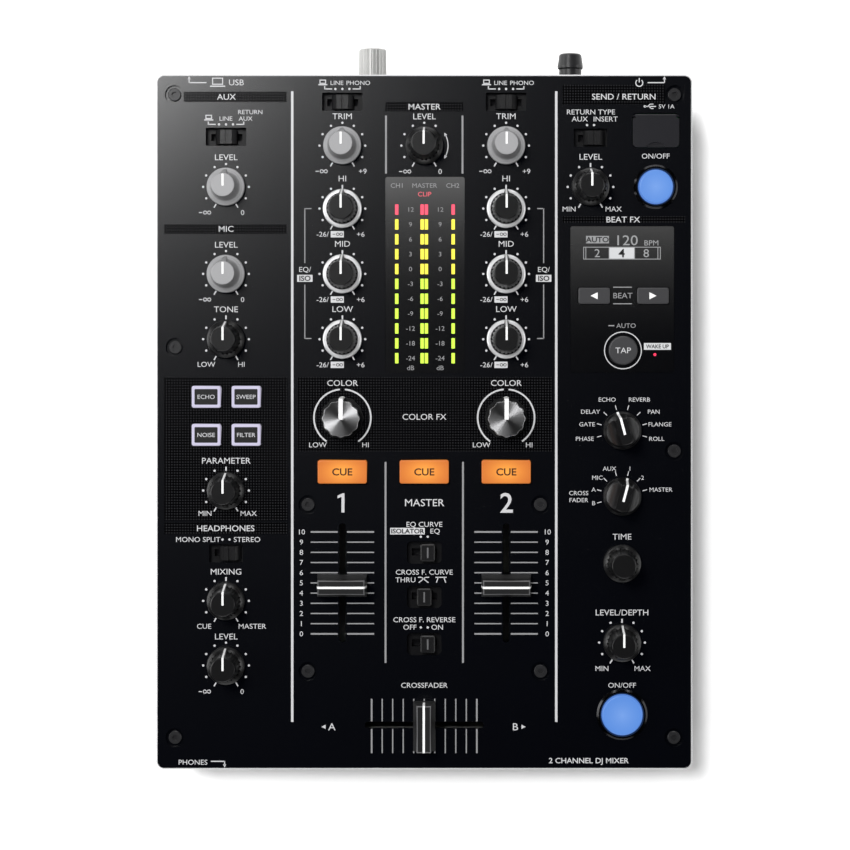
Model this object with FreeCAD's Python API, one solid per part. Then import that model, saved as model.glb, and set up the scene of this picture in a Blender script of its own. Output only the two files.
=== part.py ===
import FreeCAD, Part
import math
import os
from FreeCAD import Vector

# A two-channel tabletop mixer for a disc jockey: a steel tray with an inset rear plate, a flat
# faceplate, and twenty-two knobs, eight slide switches, twelve keys and three faders that all work
# through the faceplate.
# Millimetres. X runs to the right, +Y to the rear, +Z up. The origin is at the middle of the whole object's
# footprint, on the surface that the rubber feet stand on.

# ---------------------------------------------------------------- driving dimensions
PANEL_W = 230.0
PANEL_D = 298.0
PANEL_T = 2.0
PANEL_TOP = 93.0          # height of the faceplate's upper face above the table
PANEL_CORNER = 3.5
REAR_REACH = 13.6         # how far the ground terminal stands out behind the faceplate
MID_Y = -REAR_REACH / 2   # the faceplate's middle, so that the footprint is centred on the origin
FOOT_H = 8.0
SHEET = 1.2               # thickness of the case's sheet steel
SIDE_INSET = 1.0
REAR_INSET = 6.0          # the rear plate sits this far inside the faceplate's rear edge
KNOB_H = 14.9             # top of the knobs above the faceplate
KNOB_GAP = 0.5            # air between a knob's skirt and the faceplate
KEY_GAP = 0.3             # air all round a key in its opening

PANEL_UNDER = PANEL_TOP - PANEL_T
CASE_X = PANEL_W / 2 - SIDE_INSET
CASE_FRONT = -PANEL_D / 2 + SIDE_INSET
CASE_REAR = PANEL_D / 2 - REAR_INSET

# ---------------------------------------------------------------- layout on the faceplate, from its middle
COL_LEFT = -85.0
COL_CH1 = -35.1
COL_MID = 0.0
COL_CH2 = 35.1
COL_RIGHT = 84.8
COL_SEND = 71.3
COL_SEND_KEY = 99.2

ROW_TRIM = 118.5
ROW_HI = 91.5
ROW_MID = 63.5
ROW_LOW = 35.5
ROW_COLOR = 1.8
ROW_CUE = -21.3
ROW_SEND = 100.8
ROW_FADER = -69.0
ROW_CROSS = -130.0

SHAFT_R = 3.0
BUSHING_R = 3.5
FADER_TRAVEL = 45.0
FADER_SLOT = 51.0
FADER_SLOT_W = 2.8
CHANNEL_FADER_REST = -69.9  # where the channel fader caps stand at rest
CAP_LOW, CAP_TOP = 1.2, 12.4   # underside and crown of a fader cap above the faceplate
CAP_LONG, CAP_SHORT = 21.2, 9.4

# name: (column, row, style)
KNOBS = {
    "aux_level_knob": (COL_LEFT, ROW_SEND, "smooth"),
    "mic_level_knob": (COL_LEFT, ROW_MID, "smooth"),
    "mic_tone_knob": (COL_LEFT, ROW_LOW, "ribbed"),
    "parameter_knob": (COL_LEFT, -29.4, "ribbed"),
    "phones_mix_knob": (COL_LEFT, -76.7, "ribbed"),
    "phones_level_knob": (COL_LEFT, -104.4, "ribbed"),
    "master_level_knob": (COL_MID, ROW_TRIM, "ribbed"),
    "send_level_knob": (COL_SEND, ROW_SEND, "ribbed"),
    "effect_selector_knob": (COL_RIGHT, -3.6, "selector"),
    "channel_selector_knob": (COL_RIGHT, -31.9, "selector"),
    "time_knob": (COL_RIGHT, -60.6, "encoder"),
    "depth_knob": (COL_RIGHT, -94.6, "ribbed"),
}
for channel, column in (("ch1", COL_CH1), ("ch2", COL_CH2)):
    KNOBS[channel + "_trim_knob"] = (column, ROW_TRIM, "smooth")
    KNOBS[channel + "_hi_knob"] = (column, ROW_HI, "eq")
    KNOBS[channel + "_mid_knob"] = (column, ROW_MID, "eq")
    KNOBS[channel + "_low_knob"] = (column, ROW_LOW, "eq")
    KNOBS[channel + "_color_knob"] = (column, ROW_COLOR, "color")

# Pointer angle at rest, anticlockwise from the rear, for the knobs that don't rest at the middle.
POINTER_ANGLE = {"effect_selector_knob": 15.0, "channel_selector_knob": -15.0}

# name: (x, y, opening width, opening depth, slider style, rest offset from the middle of its travel)
SWITCH_STEP = 3.0
SWITCHES = {
    "aux_input_switch": (COL_LEFT, 122.3, 17.4, 7.8, "saddle", 0.0),
    "ch1_input_switch": (COL_CH1, 137.3, 17.4, 7.8, "saddle", 0.0),
    "ch2_input_switch": (COL_CH2, 137.3, 17.4, 7.8, "saddle", 0.0),
    "return_type_switch": (COL_SEND, 121.9, 14.4, 7.8, "saddle", SWITCH_STEP / 2),
    "phones_mode_switch": (COL_LEFT, -56.3, 14.4, 7.8, "saddle", SWITCH_STEP / 2),
    "eq_curve_switch": (COL_MID, -56.0, 14.8, 9.6, "block", SWITCH_STEP / 2),
    "crossfader_curve_switch": (COL_MID, -75.0, 14.8, 9.6, "block", 0.0),
    "crossfader_reverse_switch": (COL_MID, -95.2, 14.8, 9.6, "block", SWITCH_STEP / 2),
}

# name: (x, y, width, depth, rise above the faceplate)
RECT_KEYS = {
    "ch1_cue_button": (COL_CH1, ROW_CUE, 21.0, 10.0, 2.2),
    "master_cue_button": (COL_MID, ROW_CUE, 21.0, 10.0, 2.2),
    "ch2_cue_button": (COL_CH2, ROW_CUE, 21.0, 10.0, 2.2),
    "echo_button": (-93.4, 10.8, 12.4, 9.4, 1.6),
    "sweep_button": (-76.3, 10.8, 12.4, 9.4, 1.6),
    "noise_button": (-93.4, -5.5, 12.4, 9.4, 1.6),
    "filter_button": (-76.3, -5.5, 12.4, 9.4, 1.6),
    "beat_left_button": (72.8, 54.1, 13.6, 7.0, 0.9),
    "beat_right_button": (98.0, 54.1, 13.6, 7.0, 0.9),
}
# name: (x, y, radius, rise above the faceplate, bezel outer radius or None)
ROUND_KEYS = {
    "send_on_button": (COL_SEND_KEY, ROW_SEND, 7.2, 2.6, 9.5),
    "effect_on_button": (COL_RIGHT, -125.4, 8.6, 2.8, 10.9),
    "tap_button": (85.2, 30.7, 6.2, 1.2, None),
}
WINDOW_KEYS = ("beat_left_button", "beat_right_button", "tap_button")

METER_WINDOW = (0.3, 63.1, 34.2, 84.2)
DISPLAY_WINDOW = (84.9, 52.6, 44.6, 62.8)
WINDOW_FLANGE = 2.5
WINDOW_DROP = 0.15

USB_COVER = (99.4, 125.0, 20.0, 14.4)
COVER_T = 1.6
COVER_CORNER = 2.4
COVER_AXIS_Z = PANEL_TOP - COVER_T / 2
PIN_R = 0.5
STATUS_LAMP = (98.9, 28.9)
BEZEL_LIP = 1.1

PANEL_SCREWS = [
    (-107.2, 140.4), (-106.8, 32.0), (-106.9, -135.4),
    (107.4, 140.4), (107.3, -12.5), (107.1, -135.4),
    (-49.9, -35.5), (49.9, -35.5), (-49.9, -107.0), (49.9, -107.0),
]
SCREW_R = 1.5
SCREW_HEAD_R = 2.75
SCREW_SINK_R = 4.0
SCREW_SINK = 1.4

# ---------------------------------------------------------------- heights inside the case
BOARD_T = 1.6
CONTROL_BOARD_Z = 76.4
CONTROL_TOP = CONTROL_BOARD_Z + BOARD_T
POT_TOP = 85.0
SWITCH_DECK_Z = 89.4      # floor seen through a slide switch's opening
WINDOW_UNDER = 89.9
KEY_FLANGE_TOP = 89.5
KEY_FOOT_Z = 84.0
TACT_TOP_Z = 82.0
MAIN_BOARD_Z = 14.0
FADER_FRAME_TOP = 86.4
FADER_FRAME_L = 66.0
FADER_FRAME_W = 14.0
FLANGE_W = 3.4            # the tray's side flanges, which widen to ears at the screws
EAR_W = 13.0
EAR_L = 8.0
TAB_W = 10.0              # the four tabs that hold the rear plate
TAB_H = 14.0
VENT_COUNT = 10
FEET = [(-98.0, -131.0), (98.0, -131.0), (-98.0, 126.0), (98.0, 126.0)]

# ---------------------------------------------------------------- rear plate: x from the middle, z from the table
GROUND_TERMINAL = (-23.0, 70.0)
CORD_HOOK = (63.6, 70.0)
RCA_PAIRS = [-68.0, -52.0, -37.0, -7.0, 8.0, 24.0]
RCA_ROWS = [62.0, 47.0]
JACKS_REAR = [(-86.0, 62.0), (42.0, 62.0), (42.0, 44.0), (62.0, 47.0), (62.0, 28.0)]
XLR_REAR = [(-36.0, 26.0), (-4.0, 26.0)]
USB_B_PORT = (-101.0, 62.0)
DC_INLET = (83.0, 62.0)
POWER_KEY = (102.0, 62.0)
POWER_TRAVEL = 3.0
POWER_W, POWER_H = 10.0, 7.0
POWER_OUT = 4.5
POWER_INSIDE = 8.0
REAR_SCREWS = [(-109.0, 20.0), (-109.0, 80.0), (109.0, 20.0), (109.0, 80.0)]
KNURL_COUNT = 24
JACK_R = 3.2
PHONES_JACK = (-93.0, 62.0)
MINI_JACK = (-77.0, 62.0)


# ================================================================ helpers
def block(x, y, width, depth, z0, z1):
    """An upright box centred on x, y, which are measured from the faceplate's middle."""
    corner = Vector(x - width / 2, y + MID_Y - depth / 2, z0)
    return Part.makeBox(width, depth, z1 - z0, corner)


def drum(x, y, radius, z0, z1):
    """An upright cylinder."""
    return Part.makeCylinder(radius, z1 - z0, Vector(x, y + MID_Y, z0))


def rod_y(x, z, radius, y0, y1):
    """A cylinder that runs front to back."""
    return Part.makeCylinder(radius, y1 - y0, Vector(x, y0 + MID_Y, z), Vector(0, 1, 0))


def plate_y(x, z, width, height, y0, y1):
    """A box given by its width and height as seen from the rear, and its span front to back."""
    return Part.makeBox(width, y1 - y0, height, Vector(x - width / 2, y0 + MID_Y, z - height / 2))


def rounded(x, y, width, depth, radius, z0, z1):
    """A box with rounded upright edges."""
    shape = block(x, y, width, depth, z0, z1)
    upright = [e for e in shape.Edges if abs(e.tangentAt(e.FirstParameter).z) > 0.9]
    return shape.makeFillet(radius, upright)


def edges_at(shape, z):
    """The edges that lie wholly at one height."""
    return [e for e in shape.Edges if all(abs(v.Z - z) < 1e-4 for v in e.Vertexes)
            and abs(e.BoundBox.ZMax - e.BoundBox.ZMin) < 1e-3]


def turned(points):
    """A solid of revolution about Z from (radius, height) points that start and end on the axis."""
    wire = Part.makePolygon([Vector(r, 0, z) for r, z in points + points[:1]])
    return Part.Face(wire).revolve(Vector(0, 0, 0), Vector(0, 0, 1), 360)


def prism(points, direction):
    """A straight extrusion of a closed polygon of Vectors."""
    return Part.Face(Part.makePolygon(points + points[:1])).extrude(direction)


def group(shapes):
    """Several separate solids as one shape, clear of leftover faces and edges."""
    return Part.makeCompound([solid for shape in shapes for solid in shape.Solids])


def placed(shape, x, y, z, turn=0.0):
    """A copy turned about its own upright axis and moved to x, y from the faceplate's middle."""
    copy = shape.copy()
    copy.rotate(Vector(0, 0, 0), Vector(0, 0, 1), turn)
    copy.translate(Vector(x, y + MID_Y, z))
    return copy


def save(name, shape):
    bad = [s for s in shape.Solids if not s.isValid() or s.Volume <= 0]
    if bad or not shape.Solids:
        raise ValueError(name + " has a bad solid")
    shape.exportStep("parts/" + name + ".step")
    print(name, len(shape.Solids), "solids", round(shape.Volume), "mm3")


# ================================================================ knobs, drawn about the origin
def d_shaft():
    """A potentiometer's shaft with a flat on its upper end."""
    foot = POT_TOP + 0.5 - PANEL_TOP
    shaft = Part.makeCylinder(SHAFT_R, 11.0 - foot, Vector(0, 0, foot))
    flat = Part.makeBox(8, 3, 8, Vector(-4, SHAFT_R - 0.9, 3.5))
    return shaft.cut(flat)


def shaft_bore(clearance=0.05):
    """The blind hole under a knob that takes the shaft."""
    return Part.makeCylinder(SHAFT_R + clearance, 12.0, Vector(0, 0, -0.5))


def ribbed(body, count, foot_r, top_r, foot_z, top_z, depth):
    """Cuts upright finger grooves into a tapered grip."""
    rake = math.degrees(math.atan2(foot_r - top_r, top_z - foot_z))
    reach = math.hypot(foot_r - top_r, top_z - foot_z) + 3.0
    groove = Part.makeCylinder(depth, reach, Vector(0, 0, -1.0))
    groove.rotate(Vector(0, 0, 0), Vector(1, 0, 0), rake)
    groove.translate(Vector(0, foot_r + depth * 0.45, foot_z))
    cutters = []
    for index in range(count):
        cutter = groove.copy()
        cutter.rotate(Vector(0, 0, 0), Vector(0, 0, 1), (index + 0.5) * 360.0 / count)
        cutters.append(cutter)
    return body.cut(Part.makeCompound(cutters))


def nose(rim_r, tip_r, tip_z, width):
    """The fin under a pointer, from the rim of the top face down to the skirt."""
    top = KNOB_H - 0.25
    outline = [Vector(0, 3.0, top), Vector(0, rim_r, top), Vector(0, tip_r, tip_z),
               Vector(0, tip_r, tip_z - 0.8), Vector(0, 3.0, tip_z - 0.8)]
    fin = prism(outline, Vector(width, 0, 0))
    fin.translate(Vector(-width / 2, 0, 0))
    cheek_tip, cheek_root = 0.55, width / 2
    plan = [Vector(-cheek_root, 2.5, 0), Vector(cheek_root, 2.5, 0), Vector(cheek_root, 4.4, 0),
            Vector(cheek_tip, tip_r, 0), Vector(-cheek_tip, tip_r, 0), Vector(-cheek_root, 4.4, 0)]
    return fin.common(prism(plan, Vector(0, 0, KNOB_H)))


# Radius and height of a grip above the skirt. A ribbed grip is fuller and its ribs fade out at a shoulder.
SMOOTH_GRIP = [(6.35, 4.0), (6.0, 4.8), (5.75, 6.0), (4.98, KNOB_H - 0.45), (4.86, KNOB_H - 0.15),
               (4.6, KNOB_H), (0, KNOB_H)]
RIBBED_GRIP = [(6.35, 4.0), (6.15, 4.8), (6.0, 6.0), (5.65, 11.6), (5.22, KNOB_H - 0.45),
               (5.1, KNOB_H - 0.15), (4.85, KNOB_H), (0, KNOB_H)]
RIBS = (22, 6.1, 5.7, 4.6, 11.6, 0.42)
SMOOTH_RIM, RIBBED_RIM = 4.75, 5.0


def level_knob(has_ribs, has_pointer=True):
    """A two-step knob: a low skirt, a sloped shoulder and a tapered grip."""
    skirt_r = 8.15
    skirt = [(0, KNOB_GAP), (skirt_r - 0.5, KNOB_GAP), (skirt_r, KNOB_GAP + 0.5), (skirt_r, 2.2),
             (skirt_r - 0.25, 2.75), (skirt_r - 0.8, 3.05), (6.9, 3.5)]
    body = turned(skirt + (RIBBED_GRIP if has_ribs else SMOOTH_GRIP))
    if has_ribs:
        body = ribbed(body, *RIBS)
    if has_pointer:
        body = body.fuse(nose(RIBBED_RIM if has_ribs else SMOOTH_RIM, 7.55, 3.0, 2.9)).removeSplitter()
    return group([body.cut(shaft_bore()), d_shaft()])


def eq_knob():
    """A dark grip that stands in a separate bright ring."""
    seat_r, ring_r = 6.75, 8.35
    seat = [(0, KNOB_GAP), (seat_r, KNOB_GAP), (seat_r, 3.3), (6.55, 3.8)]
    body = ribbed(turned(seat + RIBBED_GRIP[1:]), *RIBS)
    body = body.fuse(nose(RIBBED_RIM, 8.2, 3.55, 2.9)).removeSplitter()
    inner = seat_r + 0.03
    ring = Part.Face(Part.makePolygon([Vector(r, 0, z) for r, z in [
        (inner, KNOB_GAP), (ring_r - 0.4, KNOB_GAP), (ring_r, KNOB_GAP + 0.4), (ring_r, 1.9),
        (ring_r - 0.2, 2.4), (ring_r - 0.6, 2.65), (inner, 2.7), (inner, KNOB_GAP)]]))
    ring = ring.revolve(Vector(0, 0, 0), Vector(0, 0, 1), 360)
    return group([body.cut(shaft_bore()), ring, d_shaft()])


def lobed(radius, depth, count, z0, z1):
    """An upright prism with a softly scalloped rim."""
    points = []
    steps = count * 10
    for step in range(steps):
        angle = 2 * math.pi * step / steps
        r = radius - depth * (0.5 - 0.5 * math.cos(count * angle))
        points.append(Vector(r * math.sin(angle), r * math.cos(angle), z0))
    curve = Part.BSplineCurve()
    curve.interpolate(points, PeriodicFlag=True)
    return Part.Face(Part.Wire(curve.toShape())).extrude(Vector(0, 0, z1 - z0))


def color_knob():
    """A scalloped knob with a spun metal face and a pointer bar laid over it."""
    skirt = lobed(9.2, 0.45, 12, KNOB_GAP, 3.6)
    grip = lobed(7.75, 0.5, 12, 3.6, KNOB_H - 1.6)
    body = skirt.fuse(grip).removeSplitter().cut(shaft_bore())
    bar_w = 1.7
    face = lobed(7.95, 0.5, 12, KNOB_H - 1.6, KNOB_H - 0.5)
    face = face.makeChamfer(0.3, edges_at(face, KNOB_H - 0.5))
    channel = Part.makeBox(bar_w, 9.0, 2.0, Vector(-bar_w / 2, -0.4, KNOB_H - 1.1))
    outline = [Vector(0, -0.4, KNOB_H - 1.1), Vector(0, -0.4, KNOB_H - 0.2), Vector(0, 0.0, KNOB_H),
               Vector(0, 8.1, KNOB_H), Vector(0, 8.5, KNOB_H - 0.4), Vector(0, 9.1, 4.2),
               Vector(0, 9.1, 3.6), Vector(0, 8.0, 3.6), Vector(0, 8.0, KNOB_H - 1.1)]
    bar = prism(outline, Vector(bar_w, 0, 0))
    bar.translate(Vector(-bar_w / 2, 0, 0))
    return group([body, face.cut(channel), bar, d_shaft()])


def selector_knob():
    """A round foot with a raised finger bar, hollowed on both sides."""
    foot_r, bar_half, scoop_r = 8.15, 2.35, 11.6
    body = turned([(0, KNOB_GAP), (foot_r - 0.4, KNOB_GAP), (foot_r, KNOB_GAP + 0.4), (foot_r, 2.8),
                   (foot_r - 0.3, 3.4), (7.3, 4.2), (5.85, KNOB_H - 0.6), (5.35, KNOB_H), (0, KNOB_H)])
    for side in (-1, 1):
        axis_x = side * (bar_half + scoop_r)
        scoop = Part.makeCylinder(scoop_r, 30, Vector(axis_x, -15, KNOB_H + 0.4), Vector(0, 1, 0))
        body = body.cut(scoop)
    return group([body.removeSplitter().cut(shaft_bore()), d_shaft()])


# ================================================================ slide switches, keys and faders
def saddle_slider():
    """A low slider with sloped ends, a flat crown and a thumb groove, from the switch's deck up."""
    low, high = SWITCH_DECK_Z + 0.2, PANEL_TOP + 0.7
    half, crown, width = 4.6, 2.9, 6.0
    outline = [Vector(-half, 0, low), Vector(half, 0, low), Vector(half, 0, low + 1.6),
               Vector(crown, 0, high - 0.5), Vector(crown - 0.4, 0, high), Vector(0.45, 0, high),
               Vector(0.3, 0, high - 0.7), Vector(-0.3, 0, high - 0.7), Vector(-0.45, 0, high),
               Vector(-crown + 0.4, 0, high), Vector(-crown, 0, high - 0.5), Vector(-half, 0, low + 1.6)]
    body = prism(outline, Vector(0, width, 0))
    body.translate(Vector(0, -width / 2, 0))
    return body.fuse(Part.makeBox(2.4, 2.4, 4.0, Vector(-1.2, -1.2, low - 4.0)))


def block_slider():
    """A taller square slider with a narrow sunk line on its crown."""
    low, high = SWITCH_DECK_Z + 0.2, PANEL_TOP + 1.6
    body = Part.makeBox(6.2, 7.4, high - low, Vector(-3.1, -3.7, low))
    body = body.makeFillet(0.7, [e for e in body.Edges if abs(e.tangentAt(0).z) > 0.9])
    body = body.makeChamfer(0.5, edges_at(body, high))
    body = body.cut(Part.makeBox(0.9, 4.6, 0.8, Vector(-0.45, -2.3, high - 0.7)))
    return body.fuse(Part.makeBox(2.4, 2.4, 4.0, Vector(-1.2, -1.2, low - 4.0)))


SLIDERS = {"saddle": saddle_slider, "block": block_slider}


def key_stem(x, y):
    return drum(x, y, 2.0, TACT_TOP_Z + 1.0, KEY_FOOT_Z)


def rect_key(x, y, width, depth, rise):
    """A moulded key with soft edges, a flange that keeps it under the faceplate, and a stem."""
    top = PANEL_TOP + rise
    cap = rounded(x, y, width, depth, 0.9, KEY_FLANGE_TOP, top)
    cap = cap.makeFillet(0.6, edges_at(cap, top))
    flange = rounded(x, y, width + 2.0, depth + 2.0, 1.2, KEY_FOOT_Z + 3.5, KEY_FLANGE_TOP)
    core = block(x, y, width - 3.0, depth - 3.0, KEY_FOOT_Z, KEY_FOOT_Z + 3.5)
    return group([cap.fuse([flange, core, key_stem(x, y)]).removeSplitter()])


def round_key(x, y, radius, rise):
    top = PANEL_TOP + rise
    cap = drum(x, y, radius, KEY_FLANGE_TOP, top)
    cap = cap.makeFillet(0.7, edges_at(cap, top))
    flange = drum(x, y, radius + 1.0, KEY_FOOT_Z + 3.5, KEY_FLANGE_TOP)
    core = drum(x, y, radius - 2.0, KEY_FOOT_Z, KEY_FOOT_Z + 3.5)
    return group([cap.fuse([flange, core, key_stem(x, y)]).removeSplitter()])


def frustum(w0, d0, z0, w1, d1, z1):
    """A four-sided block whose width and depth change evenly with height."""
    wires = []
    for width, depth, z in ((w0, d0, z0), (w1, d1, z1)):
        corners = [Vector(sx * width / 2, sy * depth / 2, z)
                   for sx, sy in ((-1, -1), (1, -1), (1, 1), (-1, 1))]
        wires.append(Part.makePolygon(corners + corners[:1]))
    return Part.makeLoft(wires, True, True)


def fader_cap():
    """A cap, long along X, with a flared foot, waisted flanks and a bevelled crown with a centre groove."""
    low, top = PANEL_TOP + CAP_LOW, PANEL_TOP + CAP_TOP
    sections = [(low, CAP_LONG, CAP_SHORT), (low + 2.2, CAP_LONG, CAP_SHORT),
                (low + 5.0, CAP_LONG - 0.8, 6.7), (low + 8.0, CAP_LONG - 1.1, 6.1),
                (top - 0.6, CAP_LONG - 1.2, 6.2), (top, CAP_LONG - 2.2, 5.2)]
    steps = [frustum(w0, d0, z0, w1, d1, z1)
             for (z0, w0, d0), (z1, w1, d1) in zip(sections, sections[1:])]
    body = steps[0].fuse(steps[1:]).removeSplitter()
    groove_w = 0.9
    groove = Part.makeBox(30, groove_w, 1.0, Vector(-15, -groove_w / 2, top - 0.35))
    pocket = Part.makeBox(1.4, 4.2, 7.0, Vector(-0.7, -2.1, low))
    return body.cut([groove, pocket])


def fader():
    """Cap, steel tongue and carriage of a fader that slides along Y."""
    tongue = Part.makeBox(1.2, 4.0, PANEL_TOP + CAP_LOW + 6.8 - (FADER_FRAME_TOP - 2.0),
                          Vector(-0.6, -2.0, FADER_FRAME_TOP - 2.0))
    carriage = Part.makeBox(6.0, 7.0, 5.0, Vector(-3.0, -3.5, FADER_FRAME_TOP - 7.0))
    return group([fader_cap(), tongue, carriage])


# ================================================================ the case
def fader_slot(x, y, along_x, z0, z1, length, width):
    """A round-ended slot for a fader's tongue."""
    if along_x:
        return rounded(x, y, length, width, width / 2 - 0.01, z0, z1)
    return rounded(x, y, width, length, width / 2 - 0.01, z0, z1)


def top_panel():
    """The flat faceplate with every opening, a bevelled rim and counterbored screw holes."""
    plate = rounded(0, 0, PANEL_W, PANEL_D, PANEL_CORNER, PANEL_UNDER, PANEL_TOP)
    plate = plate.makeChamfer(0.6, edges_at(plate, PANEL_TOP))
    low, high = PANEL_UNDER - 1, PANEL_TOP + 1
    cuts = [drum(x, y, 4.2, low, high) for x, y, style in KNOBS.values()]
    for x, y, width, depth, style, rest in SWITCHES.values():
        corner = 0.5 if style == "saddle" else 2.0
        cuts.append(rounded(x, y, width, depth, corner, low, high))
    for name, (x, y, width, depth, rise) in RECT_KEYS.items():
        if name not in WINDOW_KEYS:
            cuts.append(rounded(x, y, width + 2 * KEY_GAP, depth + 2 * KEY_GAP, 1.2, low, high))
    for x, y, radius, rise, bezel in ROUND_KEYS.values():
        if bezel:
            cuts.append(drum(x, y, bezel - BEZEL_LIP, low, high))
    for x, y, width, depth in (METER_WINDOW, DISPLAY_WINDOW):
        cuts.append(rounded(x, y, width, depth, 1.0, low, high))
    for column in (COL_CH1, COL_CH2):
        cuts.append(fader_slot(column, ROW_FADER, False, low, high, FADER_SLOT, FADER_SLOT_W))
    cuts.append(fader_slot(COL_MID, ROW_CROSS, True, low, high, FADER_SLOT, FADER_SLOT_W))
    for x, y in PANEL_SCREWS:
        cuts.append(drum(x, y, SCREW_R + 0.1, low, high))
        cuts.append(drum(x, y, SCREW_SINK_R, PANEL_TOP - SCREW_SINK, high))
    x, y, width, depth = USB_COVER
    cuts.append(rounded(x, y, width + 0.6, depth + 0.6, COVER_CORNER, low, high))
    cuts.append(hinge_rod(PIN_R + 0.05, width + 3.4))
    cuts.append(drum(STATUS_LAMP[0], STATUS_LAMP[1], 1.0, low, high))
    return plate.cut(cuts)


def cover_axis_y():
    """Where the USB cover's hinge line runs."""
    return USB_COVER[1] + USB_COVER[3] / 2 - COVER_T / 2 + MID_Y


def hinge_rod(radius, length):
    """A rod along the USB cover's hinge line, centred on the cover."""
    return Part.makeCylinder(radius, length, Vector(USB_COVER[0] - length / 2, cover_axis_y(), COVER_AXIS_Z),
                             Vector(1, 0, 0))


def usb_cover():
    """A small flap with a finger notch and cut rear corners, hinged on two stub pins at its rear edge."""
    x, y, width, depth = USB_COVER
    low = PANEL_TOP - COVER_T
    plate = rounded(x, y, width, depth, COVER_CORNER - 0.4, low, PANEL_TOP)
    rear = cover_axis_y() - MID_Y
    corner_w, corner_d = 1.2, 1.1
    cuts = [block(x, rear + 5, width + 2, 10, low - 1, PANEL_TOP + 1)]
    for side in (-1, 1):
        cuts.append(block(x + side * width / 2, rear, 2 * corner_w, 2 * corner_d, low - 1, PANEL_TOP + 1))
    hinge = hinge_rod(COVER_T / 2, width - 2 * corner_w)
    pins = hinge_rod(PIN_R, width + 3.0)
    notch_r, notch_out = 5.7, 3.5
    cuts.append(drum(x, y - depth / 2 - notch_out, notch_r, PANEL_TOP - 0.8, PANEL_TOP + 1))
    return group([plate.cut(cuts).fuse([hinge, pins]).removeSplitter()])


def windows():
    """The smoked meter window and the smoked display window, each with a flange under the faceplate."""
    top = PANEL_TOP - WINDOW_DROP
    panes = []
    for x, y, width, depth in (METER_WINDOW, DISPLAY_WINDOW):
        pane = rounded(x, y, width - 0.2, depth - 0.2, 0.9, WINDOW_UNDER, top)
        flange = rounded(x, y, width + 2 * WINDOW_FLANGE, depth + 2 * WINDOW_FLANGE, 2.0,
                         WINDOW_UNDER, PANEL_UNDER)
        panes.append(pane.fuse(flange).removeSplitter())
    cuts = []
    for name in WINDOW_KEYS:
        if name in RECT_KEYS:
            x, y, width, depth, rise = RECT_KEYS[name]
            cuts.append(rounded(x, y, width + 2 * KEY_GAP, depth + 2 * KEY_GAP, 1.2,
                                WINDOW_UNDER - 1, top + 1))
        else:
            x, y, radius, rise, bezel = ROUND_KEYS[name]
            cuts.append(drum(x, y, radius + KEY_GAP, WINDOW_UNDER - 1, top + 1))
    return group([panes[0], panes[1].cut(cuts)])


def button_bezels():
    """The bright rings round the two large lit keys."""
    rings = []
    for x, y, radius, rise, bezel in ROUND_KEYS.values():
        if bezel:
            bore = radius + KEY_GAP
            tube = bezel - BEZEL_LIP - 0.1
            ring = Part.Face(Part.makePolygon([Vector(r, 0, z) for r, z in [
                (bore, PANEL_UNDER), (tube, PANEL_UNDER), (tube, PANEL_TOP), (bezel, PANEL_TOP),
                (bezel, PANEL_TOP + 0.5), (bezel - 0.8, PANEL_TOP + 1.6), (bore + 0.5, PANEL_TOP + 1.6),
                (bore, PANEL_TOP + 1.1), (bore, PANEL_UNDER)]]))
            rings.append(placed(ring.revolve(Vector(0, 0, 0), Vector(0, 0, 1), 360), x, y, 0))
    return group(rings)


def case_tub():
    """The folded steel tray: floor, front, sides, top flanges and rear tabs."""
    front, rear = CASE_FRONT, CASE_REAR
    mid, length = (front + rear) / 2, rear - front
    floor = block(0, mid, 2 * CASE_X, length, FOOT_H, FOOT_H + SHEET)
    nose_wall = block(0, front + SHEET / 2, 2 * CASE_X, SHEET, FOOT_H, PANEL_UNDER)
    walls = [nose_wall]
    for side in (-1, 1):
        walls.append(block(side * (CASE_X - SHEET / 2), mid, SHEET, length, FOOT_H, PANEL_UNDER))
        walls.append(block(side * (CASE_X - FLANGE_W / 2), mid, FLANGE_W, length - 2 * SHEET,
                           PANEL_UNDER - SHEET, PANEL_UNDER))
    edge_screws = [(x, y) for x, y in PANEL_SCREWS if abs(x) > 100]
    for x, y in edge_screws:
        ear_y = max(front + SHEET + EAR_L / 2, min(y, rear - 2 * SHEET - EAR_L / 2))
        walls.append(block(math.copysign(CASE_X - EAR_W / 2, x), ear_y, EAR_W, EAR_L,
                           PANEL_UNDER - SHEET, PANEL_UNDER))
    for x, z in REAR_SCREWS:
        walls.append(block(math.copysign(CASE_X - TAB_W / 2, x), rear - 1.5 * SHEET, TAB_W, SHEET,
                           z - TAB_H / 2, z + TAB_H / 2))
    tub = floor.fuse(walls).removeSplitter()
    cuts = [drum(x, y, SCREW_R, PANEL_UNDER - 8, PANEL_UNDER + 1) for x, y in edge_screws]
    cuts += [drum(x, y, SCREW_R + 0.1, FOOT_H - 1, FOOT_H + SHEET + 1) for x, y in FEET]
    for side in (-1, 1):
        for index in range(VENT_COUNT):
            cuts.append(block(side * 50.0, -40.0 + index * 9.0, 34.0, 3.0, FOOT_H - 1, FOOT_H + SHEET + 1))
    cuts.append(rod_y(PHONES_JACK[0], PHONES_JACK[1], 6.3, front - 1, front + 3))
    cuts.append(rod_y(MINI_JACK[0], MINI_JACK[1], 4.3, front - 1, front + 3))
    for x, z in REAR_SCREWS:
        cuts.append(rod_y(x, z, SCREW_R, rear - 5, rear))
    tub = tub.cut(cuts)
    rear_notch = block(0, rear - SHEET / 2 + 0.01, 2 * (CASE_X - SHEET), SHEET, FOOT_H + SHEET, PANEL_UNDER)
    return group([tub.cut(rear_notch)])


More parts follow.
